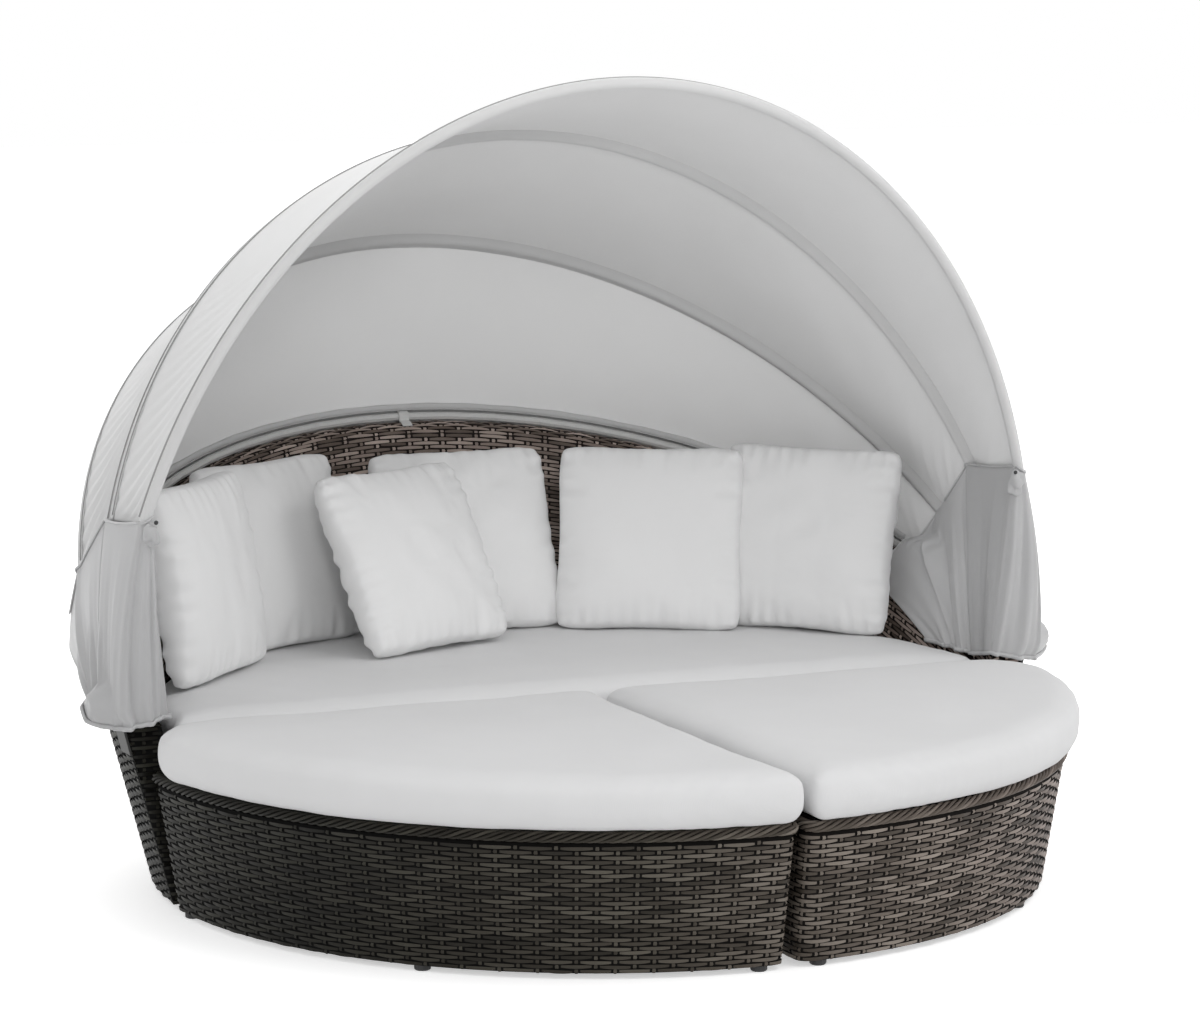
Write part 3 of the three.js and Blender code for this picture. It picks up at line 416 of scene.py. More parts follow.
tube_finish = plain_material("powder coated tube", (0.32, 0.31, 0.3), 0.0, 0.42, 900.0, 0.1)
hoop_finish = plain_material("white powder coated hoop", (0.74, 0.74, 0.73), 0.0, 0.38, 900.0, 0.1)
bracket_finish = plain_material("dark powder coated bracket", (0.03, 0.03, 0.028), 0.0, 0.5, 900.0, 0.1)
steel_finish = plain_material("zinc plated steel", (0.6, 0.6, 0.6), 1.0, 0.32, 600.0, 0.1)
plastic_finish = plain_material("black nylon", (0.025, 0.025, 0.026), 0.0, 0.5, 1200.0, 0.15)
thread_finish = plain_material("grey piping", (0.38, 0.38, 0.38), 0.0, 0.8, 900.0, 0.2)
finishes = {
    "wicker": gap_finish, "cushion_cloth": canvas_finish, "canopy_cloth": canopy_finish,
    "frame_tube": tube_finish, "bolt_steel": steel_finish, "black_plastic": plastic_finish,
}
for part in frame["record"]["subparts"]:
    nodes[part["node"]].data.materials.clear()
    chosen = finishes[part["material_slot"]]
    if part["node"].endswith("_hoop") or part["node"].startswith("hoop_strap"):
        chosen = hoop_finish
    if part["node"].endswith("_pivot_bracket"):
        chosen = bracket_finish
    nodes[part["node"]].data.materials.append(chosen)
print("nodes finished", len(nodes))

# %% [markdown]
# ## One strand, laid hundreds of times
# The wicker is a plain weave. Each flat strand passes over one upright, where it shows as a long lens,
# and under the next one, where it dips out of sight. So one lens and one short bump of an upright are
# modelled, and laid row by row over each wall, every second row shifted by one upright.
# %% Model the lens and the upright's bump
ROW = 0.0092
UPRIGHT = 0.038
PEAK = 0.0036


def strand(name, along, across, length, width, lift, roundness, waist):
    piece = grid(name, along, across)
    co = points(piece)
    u, v = co[:, 0], co[:, 1]
    crest = np.cos(np.pi / 2 * u)
    co[:, 0] = u * length / 2
    co[:, 1] = v * width / 2 * (waist + (1 - waist) * crest**0.7)
    co[:, 2] = -PEAK + lift * (crest - 0.3) / 0.7 - roundness * (1 - np.sqrt(1 - (0.97 * v) ** 2))
    shape = (co, quads(piece))
    bpy.data.objects.remove(piece)
    return shape


lens_co, lens_faces = strand("lens", 6, 3, 2 * UPRIGHT * 0.99, ROW * 0.8, PEAK, 0.0026, 0.42)
knuckle_co, knuckle_faces = strand("knuckle", 2, 2, ROW * 1.25, 0.0078, 0.0028, 0.0012, 0.7)
knuckle_co = knuckle_co[:, [1, 0, 2]] * [-1, 1, 1]
print("lens points", len(lens_co), "knuckle points", len(knuckle_co))

# %% Lay the shapes at many places of a curved surface
DRIFT = 0.00045
KNUCKLE_TONE, BACKING_TONE = 0.35, 0.2


def lay(co, faces, lightest, sites, surface, clamp):
    """Points, faces and tones of a shape at each site (s, h) of surface(s, h, n)."""
    count, size = len(sites), len(co)
    drift = rng.normal(0, DRIFT, count)[:, None]
    s = sites[:, 0, None] + co[None, :, 0]
    h = sites[:, 1, None] + co[None, :, 1] + drift * (1 + co[None, :, 0] / UPRIGHT)
    n = np.broadcast_to(co[None, :, 2], s.shape)
    if clamp:
        s, h = clamp(s, h)
    where = surface(s, h, n).reshape(-1, 3)
    every = np.asarray(faces)[None] + size * np.arange(count)[:, None, None]
    tones = np.repeat(lightest + (1 - lightest) * rng.random(count), size)
    return where, every.reshape(-1, every.shape[-1]), tones


def weave(surface, low, high, start, length, closed=False, clamp=None, kept=None):
    """Rows of lenses with knuckles between them. A closed row's lenses are stretched to fill it."""
    count = 2 * round(length / (2 * UPRIGHT))
    pitch = length / count
    lenses, knuckles = [], []
    for i, h in enumerate(np.arange(low + ROW / 2, high, ROW)):
        for k in range(count if closed else count + 1):
            (knuckles if (k + i) % 2 else lenses).append((start + k * pitch, h))
    fit = [pitch / UPRIGHT if closed else 1, 1, 1]
    shapes = ((lens_co * fit, lens_faces, 0.0, lenses), (knuckle_co, knuckle_faces, KNUCKLE_TONE, knuckles))
    laid = []
    for co, faces, lightest, sites in shapes:
        sites = np.array(sites)
        if kept:
            sites = sites[kept(*sites.T)]
        laid.append(lay(co, faces, lightest, sites, surface, clamp))
    return laid


def wicker_mesh(name, co, faces, tones, first_gap):
    """A mesh with a tone at each point, whose faces from the first gap on have the gaps' finish."""
    piece = mesh_piece(name, np.concatenate(co), faces)
    attribute = piece.data.attributes.new("tone", "FLOAT", "POINT")
    attribute.data.foreach_set("value", np.concatenate(tones).astype(np.float32))
    gap = np.arange(len(faces)) >= first_gap
    piece.data.polygons.foreach_set("material_index", gap.astype(np.int32))
    return piece


def woven_piece(name, laid, backing, body, cad_node):
    """One mesh of all that is laid, with the backing sheet behind it."""
    co, faces, tones, offset = [], [], [], 0
    for where, every, tone in laid:
        co.append(where)
        faces.extend((every + offset).tolist())
        tones.append(tone)
        offset += len(where)
    first_gap = len(faces)
    co.append(points(backing))
    faces.extend([[v + offset for v in f] for f in quads(backing)])
    tones.append(np.full(len(co[-1]), BACKING_TONE))
    bpy.data.objects.remove(backing)
    piece = wicker_mesh(name, co, faces, tones, first_gap)
    finish_piece(piece, strand_finish, body, [cad_node], gap_finish)


# %% [markdown]
# ## Ottoman walls
# An ottoman's wall is a quarter of a round that leans out as it rises. A point of it is found from a
# distance along the outline and a height, so the strands follow the corners too. Behind them lies a
# sheet painted near black, as the shade in the gaps of the weave.
# %% Outline of an ottoman
def arc(x, y, radius, start, end, count):
    turn = np.radians(np.linspace(start, end, count))
    return np.stack([x + radius * np.cos(turn), y + radius * np.sin(turn)], axis=1)


def quarter(radius, side, corner, steps=8, round_steps=96):
    """The outline of a quarter round whose straight sides stand off its middle, with round corners."""
    run = math.sqrt((radius - corner) ** 2 - (side + corner) ** 2)
    turn = math.degrees(math.atan2(run, side + corner))
    return np.concatenate([
        arc(side + corner, -side - corner, corner, 90, 180, steps),
        arc(side + corner, -run, corner, 180, 360 - turn, steps),
        arc(0, 0, radius, 360 - turn, 270 + turn, round_steps)[1:-1],
        arc(run, -side - corner, corner, 270 + turn, 450, steps),
    ])


def wall_outline(z):
    share = z / RIM_HEIGHT
    radius = OTTOMAN_FOOT + (RIM_RADIUS - BRAID_PROUD - OTTOMAN_FOOT) * share
    side = FOOT_SPLIT + (SPLIT + BRAID_PROUD - FOOT_SPLIT) * share
    return quarter(radius, side, RIM_CORNER)


low_line, high_line = wall_outline(GROUND_GAP), wall_outline(WALL_TOP)
middle_line = (low_line + high_line) / 2
outline_reach = reach_along(closed_line(middle_line))
girth = outline_reach[-1]
print("outline", round(girth, 3), "m")


def turned_in(x, y, left):
    """The right ottoman's place, or the left one's, which is the same shape turned a quarter."""
    return (y, -x + CENTRE) if left else (x, y + CENTRE)


def on_outline(s, line):
    """x and y at a distance along a closed outline."""
    return [np.interp(np.mod(s, girth), outline_reach, column) for column in closed_line(line).T]


def ottoman_surface(left, near=0.002):
    def surface(s, h, n):
        share = (h - GROUND_GAP) / (WALL_TOP - GROUND_GAP)
        x, y = (a + (b - a) * share for a, b in zip(on_outline(s, low_line), on_outline(s, high_line)))
        ahead, behind = on_outline(s + near, middle_line), on_outline(s - near, middle_line)
        way = [a - b for a, b in zip(ahead, behind)]
        size = np.hypot(*way)
        x, y = turned_in(x + n * way[1] / size, y - n * way[0] / size, left)
        return np.stack(np.broadcast_arrays(x, y, h), axis=-1)
    return surface


# %% Weave the ottoman walls
def backing_sheet(front, back, closed):
    """A sheet behind the strands, painted as the shade in their gaps, from two grids of points [along, up],
    with closed edges.
    """
    count, high = front.shape[:2]
    co = np.concatenate([front.reshape(-1, 3), back.reshape(-1, 3)])
    faces = []

    def corner(layer, i, j):
        return layer * count * high + (i % count) * high + j

    for i in range(count if closed else count - 1):
        for j in range(high - 1):
            ring = [corner(0, i, j), corner(0, i + 1, j), corner(0, i + 1, j + 1), corner(0, i, j + 1)]
            faces += [ring, [v + count * high for v in ring[::-1]]]
        for j in (0, high - 1):
            ring = [corner(0, i, j), corner(1, i, j), corner(1, i + 1, j), corner(0, i + 1, j)]
            faces.append(ring if j == 0 else ring[::-1])
    if not closed:
        for i in (0, count - 1):
            for j in range(high - 1):
                ring = [corner(0, i, j), corner(0, i, j + 1), corner(1, i, j + 1), corner(1, i, j)]
                faces.append(ring if i == 0 else ring[::-1])
    return mesh_piece("backing", co, faces)


BACKING = 0.0042
for side in ("left", "right"):
    surface = ottoman_surface(side == "left")
    s_grid = np.linspace(0, girth, 361)[:-1, None]
    h_grid = np.array([[GROUND_GAP, WALL_TOP]])
    front, back = (surface(s_grid, h_grid, np.array([[-depth]])) for depth in (PEAK, PEAK + BACKING))
    laid = weave(surface, GROUND_GAP, WALL_TOP - 0.002, 0, girth, closed=True)
    sheet = backing_sheet(front, back, True)
    woven_piece(f"{side}_ottoman_weave", laid, sheet, f"{side}_ottoman", f"{side}_ottoman_wall")

# %% [markdown]
# ## Sofa wall
# The sofa's wall leans out like the ottomans', but its top slopes up to the rear and is rounded over.
# The outer rows lie level and run out under the top, as they do on the real wall, where the weaver
# starts at the ground. The rows over the rounded top and down the inner face follow the top's slope.
# %% The three faces of the sofa wall
LEAN = math.hypot(1, BACK_FLARE)
HALF_THICK = BACK_THICK / 2


def shoulder_height(angle):
    return back_top(angle)[1] - BACK_CROWN


def outer_face(s, h, n):
    return around(-s, back_radius(h) + n / LEAN, h - n * BACK_FLARE / LEAN)


turns = np.linspace(0, np.pi, 200)
crown_line = np.stack([HALF_THICK * np.cos(turns), BACK_CROWN * np.sin(turns)], axis=1)
crown_reach = reach_along(crown_line)
CROWN_LENGTH = crown_reach[-1]


def top_face(s, h, n):
    turn = np.interp(h, crown_reach, turns)
    shoulder = shoulder_height(-s)
    way = np.stack([np.cos(turn) / HALF_THICK, np.sin(turn) / BACK_CROWN])
    way = way / np.hypot(*way)
    radius = back_radius(shoulder) - HALF_THICK + HALF_THICK * np.cos(turn) + n * way[0]
    return around(-s, radius, shoulder + BACK_CROWN * np.sin(turn) + n * way[1])


def inner_face(s, h, n):
    z = shoulder_height(-s) - h / LEAN
    return around(-s, back_radius(z) - BACK_THICK - n / LEAN, z + n * BACK_FLARE / LEAN)


print("crown", round(CROWN_LENGTH, 4), "m over the top")

# %% Weave the sofa wall
quarter_turn = math.pi / 2


def within_ends(s, h):
    return np.clip(s, -quarter_turn, quarter_turn), h


def under_top(s, h):
    s, h = within_ends(s, h)
    return s, np.clip(h, GROUND_GAP, shoulder_height(-s))


def above_seat(s, h):
    s, h = within_ends(s, h)
    return s, np.minimum(h, LEAN * (shoulder_height(-s) - RIM_HEIGHT - SEAT))


highest, lowest = shoulder_height(0.0), RIM_HEIGHT + CUSHION_THICK - 0.03
half_round = (-quarter_turn, 2 * quarter_turn)
laid = weave(outer_face, GROUND_GAP, highest, *half_round, clamp=under_top,
             kept=lambda s, h: h < shoulder_height(-s) - 0.001)
laid += weave(top_face, 0, CROWN_LENGTH, *half_round, clamp=within_ends)
laid += weave(inner_face, 0, LEAN * (highest - lowest), *half_round, clamp=above_seat,
              kept=lambda s, h: shoulder_height(-s) - h / LEAN > lowest)


def wall_section(depth):
    """The wall's section at each angle, from the outer foot over the top to the inner foot."""
    s = np.linspace(-quarter_turn, quarter_turn, 181)[:, None]
    shoulder = shoulder_height(-s)
    heights = np.concatenate([np.full_like(s, GROUND_GAP), (GROUND_GAP + shoulder) / 2], axis=1)
    outer = outer_face(s, heights, -depth)
    top = top_face(s, np.linspace(0, CROWN_LENGTH, 15)[None, :], -depth)
    inner = inner_face(s, LEAN * (shoulder - RIM_HEIGHT - SEAT), -depth)
    return np.concatenate([outer, top, inner], axis=1)


sheet = backing_sheet(wall_section(PEAK), wall_section(PEAK + BACKING), False)
woven_piece("sofa_back_weave", laid, sheet, "sofa", "sofa_back_skin")

# %% [markdown]
# ## The sofa's straight front
# The strands also close the sofa's flat front and the two ends of the arms, whose tops are rounded.
# The sheet painted near black as the shade between the strands is the model's own panel, set back by the
# strands' height.
# %% Weave the straight front
def front_face(s, h, n):
    return np.stack(np.broadcast_arrays(s, CENTRE + FRONT_EDGE - n, h), axis=-1)


ARM_SHOULDER = ARM_HEIGHT - BACK_CROWN
ARM_MIDDLE = back_radius(ARM_SHOULDER) - HALF_THICK


def in_arm_end(s, h):
    side = np.sign(s)
    lean = BACK_FLARE * (np.minimum(h, ARM_SHOULDER) - ARM_SHOULDER)
    low, high = ARM_MIDDLE - HALF_THICK + lean, ARM_MIDDLE + HALF_THICK + lean
    across = np.clip(np.abs(s), low + 0.001, high - 0.001)
    share = np.clip(np.abs(across - ARM_MIDDLE) / HALF_THICK, 0, 1)
    top = ARM_SHOULDER + BACK_CROWN * np.sqrt(1 - share**2)
    return side * across, np.where(h > ARM_SHOULDER, np.minimum(h, top), h)


def in_front(s, h):
    edge = back_radius(h) - 0.001
    return np.clip(s, -edge, edge), h


edge = back_radius(WALL_TOP)
laid = weave(front_face, GROUND_GAP, WALL_TOP, -edge, 2 * edge, clamp=in_front,
             kept=lambda s, h: np.abs(s) < back_radius(h) + 0.01)
for side in (-1, 1):
    start = side * ARM_MIDDLE - HALF_THICK * 1.3
    laid += weave(front_face, WALL_TOP, ARM_HEIGHT, start, 2.6 * HALF_THICK, clamp=in_arm_end)
sheet = bpy.data.objects.new("backing", nodes["sofa_front_panel"].data.copy())
scene.collection.objects.link(sheet)
modify(sheet, "WELD", merge_threshold=0.0001)
co = points(sheet)
co[:, 1] = np.maximum(co[:, 1], CENTRE + FRONT_EDGE + PEAK)
place_points(sheet, co)
woven_piece("sofa_front_weave", laid, sheet, "sofa", "sofa_front_panel")

# %% [markdown]
# ## Twisted rims
# A rim of twisted strands closes each wall at its top. It is a rope: six flat strands that wind round one
# another along the rim's line, round a core painted near black as the shade between them.
# %% Model a rope along a line
def square_to(along):
    """The ways out and up that stand square to each way along a line."""
    along = unit(along)
    up = unit(np.array([0, 0, 1.0]) - along * along[:, 2:3])
    return np.cross(along, up), up


def tube_points(centre, size, out, up, sides):
    turns = 2 * np.pi * np.arange(sides) / sides
    return [centre + size * (math.cos(turn) * out + math.sin(turn) * up) for turn in turns]


def tube_faces(sides, count, closed=False, base=0):
    """Faces of a tube whose points come line by line, from one end to the other."""
    faces = []
    for i in range(sides):
        a, b = base + i * count, base + (i + 1) % sides * count
        for j in range(count if closed else count - 1):
            k = (j + 1) % count
            faces.append([a + j, a + k, b + k, b + j])
    if not closed:
        ends = [[base + i * count + j for i in range(sides)] for j in (0, count - 1)]
        faces += [ends[0], ends[1][::-1]]
    return faces


def rope(name, line, closed, radius, body, cad_node, strands=6, twist=0.13, sides=6, step=0.0065, near=0.003):
    """Strands that wind round a core painted near black as the shade between them, along a line."""
    ring = closed_line(line) if closed else line
    reach = reach_along(ring)
    total = reach[-1]
    at = np.linspace(0, total, int(total / step) + (0 if closed else 1), endpoint=not closed)

    def spot(places):
        places = np.mod(places, total) if closed else np.clip(places, 0, total)
        return np.stack([np.interp(places, reach, ring[:, k]) for k in range(3)], axis=1)

    middle = spot(at)
    out, up = square_to(spot(at + near) - spot(at - near))
    turns_made = round(total / twist)
    co, faces, tones = [], [], []
    for k in range(strands + 1):
        first_gap = len(faces)
        thick = radius * (0.3 if k < strands else 0.62)
        offset = radius - thick if k < strands else 0
        phase = 2 * np.pi * (turns_made * at / total + k / strands)[:, None]
        centre = middle + offset * (np.cos(phase) * out + np.sin(phase) * up)
        co += tube_points(centre, thick, out, up, sides)
        faces += tube_faces(sides, len(at), closed, k * sides * len(at))
        wave = 0.5 + 0.5 * np.sin(at * 40 + 9 * k)
        tones.append(np.tile(0.25 + 0.75 * wave * rng.random(), sides))
    piece = face_outwards(wicker_mesh(name, co, faces, tones, first_gap))
    finish_piece(piece, strand_finish, body, [cad_node], gap_finish)


# %% Lay the rims
flat_rim = quarter(RIM_RADIUS - BRAID_RADIUS, SPLIT + BRAID_RADIUS, RIM_CORNER - BRAID_RADIUS, 10, 160)
for body in ("left_ottoman", "right_ottoman"):
    x, y = turned_in(flat_rim[:, 0], flat_rim[:, 1], body == "left_ottoman")
    line = np.stack([x, y, np.full_like(x, RIM_HEIGHT - BRAID_RADIUS)], axis=1)
    rope(f"{body}_twisted_rim", line, True, BRAID_RADIUS, body, f"{body}_rim_braid")
reach_x = back_radius(WALL_TOP) - BACK_THICK - 2 * SEAT
line = np.array([[x, CENTRE + SPLIT + BRAID_RADIUS, RIM_HEIGHT - BRAID_RADIUS] for x in (-reach_x, reach_x)])
rope("sofa_twisted_rim", line, False, BRAID_RADIUS, "sofa", "sofa_front_braid")

# %% [markdown]
# ## Seat cushions
# A seat cushion is foam in a plain white cover. Its shape starts as the model's solid, is remeshed to an
# even skin and then filled with air pressure as a cloth, so that the cover gets the slight unevenness of
# a sewn one. The filling is capped, because foam holds its form.
# %% Fill a closed cover
def bare_copy(name, source):
    piece = bpy.data.objects.new(name, nodes[source].data.copy())
    piece.data.name = name
    scene.collection.objects.link(piece)
    return modify(piece, "WELD", merge_threshold=0.0001)


def fill(piece, pressure, cap, frames=20, stiffness=15.0):
    """Air pressure swells the cover, and no point moves farther than the cap."""
    before = points(piece)
    cloth = piece.modifiers.new("cover", "CLOTH")
    settings = cloth.settings
    settings.quality = 4
    settings.use_pressure = True
    settings.uniform_pressure_force = pressure
    settings.effector_weights.gravity = 0
    settings.tension_stiffness = settings.compression_stiffness = stiffness
    settings.bending_stiffness = 0.4
    cloth.point_cache.frame_start, cloth.point_cache.frame_end = 1, frames
    for step in range(1, frames + 1):
        scene.frame_set(step)
        bpy.context.view_layer.update()
    pick(piece)
    bpy.ops.object.modifier_apply(modifier=cloth.name)
    moved = points(piece) - before
    size = np.linalg.norm(moved, axis=1)
    share = np.minimum(1, cap / np.maximum(size, 1e-9))
    place_points(piece, before + moved * share[:, None])
    print(piece.name, "swelled up to", round(float(size.max() * 1000), 1), "mm")
    scene.frame_set(1)


def waves(co, seed, sizes, amounts):
    """A smooth, repeatable unevenness at points, as a sum of waves in chance directions."""
    chance = np.random.default_rng(seed)
    total = np.zeros(len(co))
    for size, amount in zip(sizes, amounts):
        for _ in range(5):
            way = chance.normal(size=3)
            way *= 2 * np.pi / (size * np.linalg.norm(way))
            total += amount / 2.2 * np.sin(co @ way + chance.uniform(0, 2 * np.pi))
    return total


FACE_SIZE, TUCK = 0.011, 0.0015  # size of the skin's faces, and how far it is drawn in at first
UNEVEN, SWELL = 0.0012, 0.004  # how far the unevenness and the filling may lift it
for k, body in enumerate(("sofa", "left_ottoman", "right_ottoman")):
    piece = bare_copy(f"{body}_seat_cushion", f"{body}_cushion")
    modify(piece, "REMESH", mode="VOXEL", voxel_size=FACE_SIZE)
    modify(piece, "SMOOTH", factor=0.5, iterations=6)
    place_points(piece, points(piece) - TUCK * normals_of(piece))
    fill(piece, 3.0, SWELL, frames=10)
    soft = waves(points(piece), 20 + k, (0.5, 0.22, 0.09), (0.0016, 0.0009, 0.0004))
    co = points(piece) + normals_of(piece) * np.minimum(soft, UNEVEN)[:, None]
    low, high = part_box(f"{body}_cushion")
    co[:, 2] = np.clip(co[:, 2], low.z, high.z + SWELL)
    place_points(piece, co)
    smooth(piece)
    modify(piece, "SUBSURF", levels=1, render_levels=1)
    finish_piece(piece, canvas_finish, body, [f"{body}_cushion"])

# %% [markdown]
# ## Throw pillows
# A pillow cover is two squares of cloth sewn together round the edge. Stuffing draws the sides in a
# little, leaves the corners standing, and puckers the cloth along the seam. The two plump faces are
# shaped from flat grids and joined, and a short spell of air pressure then settles them as cloth.
# %% Shape a pillow cover
PILLOW, PILLOW_THICK, PILLOW_DRAW, PILLOW_ROUND = 0.43, 0.135, 0.035, 0.075
PILLOW_STEPS = 60


def pillow_face(u, v, seed):
    """Depth of one face, with puckers that run in from the seam."""
    chance = np.random.default_rng(seed)
    full = ((1 - u**2) * (1 - v**2)) ** 0.3
    puckers = np.zeros_like(u)
    for along, inward in ((u, 1 - np.abs(v)), (v, 1 - np.abs(u))):
        beat = np.zeros_like(u)
        for _ in range(4):
            beat += np.sin(chance.uniform(14, 44) * along + chance.uniform(0, 2 * np.pi)) / 4
        puckers += beat * np.exp(-inward / 0.16) * np.minimum(1, inward / 0.03)
    dents = np.sin(2.1 * u + chance.uniform(0, 6)) * np.sin(1.7 * v + chance.uniform(0, 6))
    places = np.stack([u, 0 * u, v], axis=1)
    crumple = waves(places, seed + 90, (0.8, 0.42), (0.0035, 0.0026)) * full
    return PILLOW_THICK / 2 * full + 0.012 * puckers + 0.007 * dents * full + crumple


def pillow_cover(name, seed):
    flat = grid(name, PILLOW_STEPS, PILLOW_STEPS)
    co, faces = points(flat), quads(flat)
    bpy.data.objects.remove(flat)
    u, v = co[:, 0], co[:, 1]
    edge = (np.abs(u) > 0.999) | (np.abs(v) > 0.999)
    chance = np.random.default_rng(60 + seed)
    ruffle = 0.003 * np.sin(chance.uniform(11, 17) * u + 2) * np.sin(chance.uniform(11, 17) * v + seed) * edge
    round_off = 1 - PILLOW_ROUND * (u * v) ** 6
    x = PILLOW / 2 * u * (1 - PILLOW_DRAW * (1 - v**2)) * round_off
    z = PILLOW / 2 * v * (1 - PILLOW_DRAW * (1 - u**2)) * round_off
    sides = []
    for way, face_seed in ((-1, 10 * seed), (1, 10 * seed + 5)):
        depth = np.where(edge, 0, np.maximum(0.0012, pillow_face(u, v, face_seed)))
        sides.append(np.stack([x, way * depth + ruffle, z], axis=1))
    both = [list(f) for f in faces] + [[k + len(co) for k in f[::-1]] for f in faces]
    piece = mesh_piece(name, np.concatenate(sides), both)
    modify(piece, "WELD", merge_threshold=0.0002)
    return face_outwards(piece)


covers = []
for seed in (1, 2, 3):
    cover = pillow_cover(f"cover_{seed}", seed)
    fill(cover, 1.2 + 0.4 * seed, 0.010, frames=9, stiffness=18.0)
    co = points(cover)
    co -= (co.max(axis=0) + co.min(axis=0)) / 2
    co *= np.array([PILLOW, PILLOW_THICK, PILLOW]) / (co.max(axis=0) - co.min(axis=0))
    covers.append((co, quads(cover)))
    bpy.data.objects.remove(cover)
print("covers", len(covers), "faces each", len(covers[0][1]))

# %% Stand the pillows
pillow_places = [
    (-0.75, 0.43, 47, 9), (-0.455, 0.735, 26, 16), (-0.155, 0.545, 24, 27),
    (0.02, 0.745, 0, 22), (0.405, 0.615, -29, 18), (0.735, 0.46, -48, 15),
]
inner_reach = back_radius(RIM_HEIGHT) - BACK_THICK
seat_top = RIM_HEIGHT + SEAT + CUSHION_THICK + SEAT
for k, (across, behind, turn, lean) in enumerate(pillow_places):
    co, faces = covers[k % 3]
    co = co.copy()
    if k % 2:
        co = co[:, [2, 1, 0]] * [1, -1, 1]
    if k in (2, 4):
        co = co * [-1, -1, 1]
    co[:, 2] += PILLOW / 2
    piece = mesh_piece(f"throw_pillow_{k + 1}", co, faces)
    ways = ((turn, "Z"), (-lean, "X"))
    turned, leant = (Matrix.Rotation(math.radians(angle), 4, axis) for angle, axis in ways)
    piece.data.transform(turned @ leant)
    lift = seat_top - points(piece)[:, 2].min()
    piece.data.transform(Matrix.Translation((across * inner_reach, behind * inner_reach + CENTRE, lift)))
    face_outwards(piece)
    modify(piece, "SUBSURF", levels=1, render_levels=1)
    smooth(piece)
    # Painted light: the pillow's cover is painted lighter than the cushions' canvas to make up for the shade
    # under the canopy.
    finish_piece(piece, pillow_lightened_finish, "sofa", [f"pillow_{k + 1}"])

# %% [markdown]
# ## Canopy hoops as lines
# The cloth is stretched between hoops that all turn about one pivot. A hoop is half an ellipse in a
# plane through the pivot's axis. For a share from the left hem to the right hem it gives a point, the
# way along, the way out and the way forward, and the cloth is laid from these.
# %% Hoop lines
PIVOT = np.array([0, PIVOT_Y + CENTRE, PIVOT_Z])
STACK = back_radius(ARM_HEIGHT) + SEAT + 0.005
LUG_GAP, LUG_THICK = 0.0012, 0.004
CLOTH_CLEAR = 0.0013
STRAP_HEIGHT = 0.0037


def from_pivot(y, z):
    return np.hypot(y - PIVOT[1], z - PIVOT[2])


def in_plane(angle, across, out, beside=0.0):
    """A point in the plane of a hoop at an angle, from its places across, out and beside the plane."""
    c, s = math.cos(angle), math.sin(angle)
    y, z = PIVOT[1] + out * c - beside * s, PIVOT[2] + out * s + beside * c
    return np.stack(np.broadcast_arrays(across, y, z), axis=-1)


def hoop_line(angle_degrees, place, height):
    angle = math.radians(angle_degrees)
    width = STACK + place * (LUG_GAP + LUG_THICK) + LUG_GAP + LUG_THICK / 2
    start = math.asin(HEM_REACH / height)

    def point(share):
        turn = math.pi - start + (2 * start - math.pi) * share
        return in_plane(angle, width * np.cos(turn), height * np.sin(turn))

    return {"angle": angle, "point": point, "over": HOOP_RADIUS + CLOTH_CLEAR}


rise_angle = math.atan(BACK_RISE)
hem_forward = PIVOT_Y - BACK_Y + HEM_REACH * math.cos(rise_angle)
hem_turn = math.acos(hem_forward / (RIM_BASE + BACK_FLARE * BACK_RISE * hem_forward))


def rear_point(share):
    angle = hem_turn * (2 * np.asarray(share) - 1)
    radius, height = back_top(angle)
    return around(angle, radius, height + HOOP_LIFT)


rear_line = {"angle": rise_angle, "point": rear_point, "over": HOOP_RADIUS + STRAP_HEIGHT + CLOTH_CLEAR}
back_line = hoop_line(37.9, 2, 1.376)
middle_line_hoop = hoop_line(68.8, 1, 1.2)
front_line = hoop_line(99.8, 0, 1.272)


def station(line, share):
    """Point, way along, way out and way forward of a hoop at each share."""
    share = np.asarray(share, float)
    step = 1e-3
    along = unit(line["point"](np.minimum(1, share + step)) - line["point"](np.maximum(0, share - step)))
    c, s = math.cos(line["angle"]), math.sin(line["angle"])
    forward = np.broadcast_to(np.array([0, -s, c]), along.shape)
    return line["point"](share), along, unit(np.cross(forward, along)), forward


hoop_lines = [rear_line, back_line, middle_line_hoop, front_line]
for name, line in zip(("rear", "back", "middle", "front"), hoop_lines):
    print(name, "hoop top", np.round(line["point"](0.5), 3))

# %% [markdown]
# ## Canopy cloth
# The canopy is three gores of cloth, sewn together over the back and middle hoops. Each gore is a sheet
# from hoop to hoop that dips a little between them, with faint pulls that run out from the hems. It is
# modelled as a grid that is laid over the hoops, and given the cloth's thickness afterwards.
# %% Lay a gore over two hoops
SAG, SHEET, RISE = 0.014, 0.0014, 0.0008  # the cloth's dip, its thickness and its lift off the hoops
HEM_CREASES = 58  # from hem to hem
OVER_HOOP = np.linspace(0, 1, 4)  # steps from a hoop's outer side to where the cloth leaves it
LOWEST, HIGHEST = 0.36, 1.42  # the canopy's least and greatest distance from the pivot


def leaving(chord, along, out):
    """The way square to a hoop and to the cloth's chord, on the hoop's outer side."""
    square = unit(np.cross(chord, along))
    return square * np.sign(np.sum(square * out, axis=-1, keepdims=True))


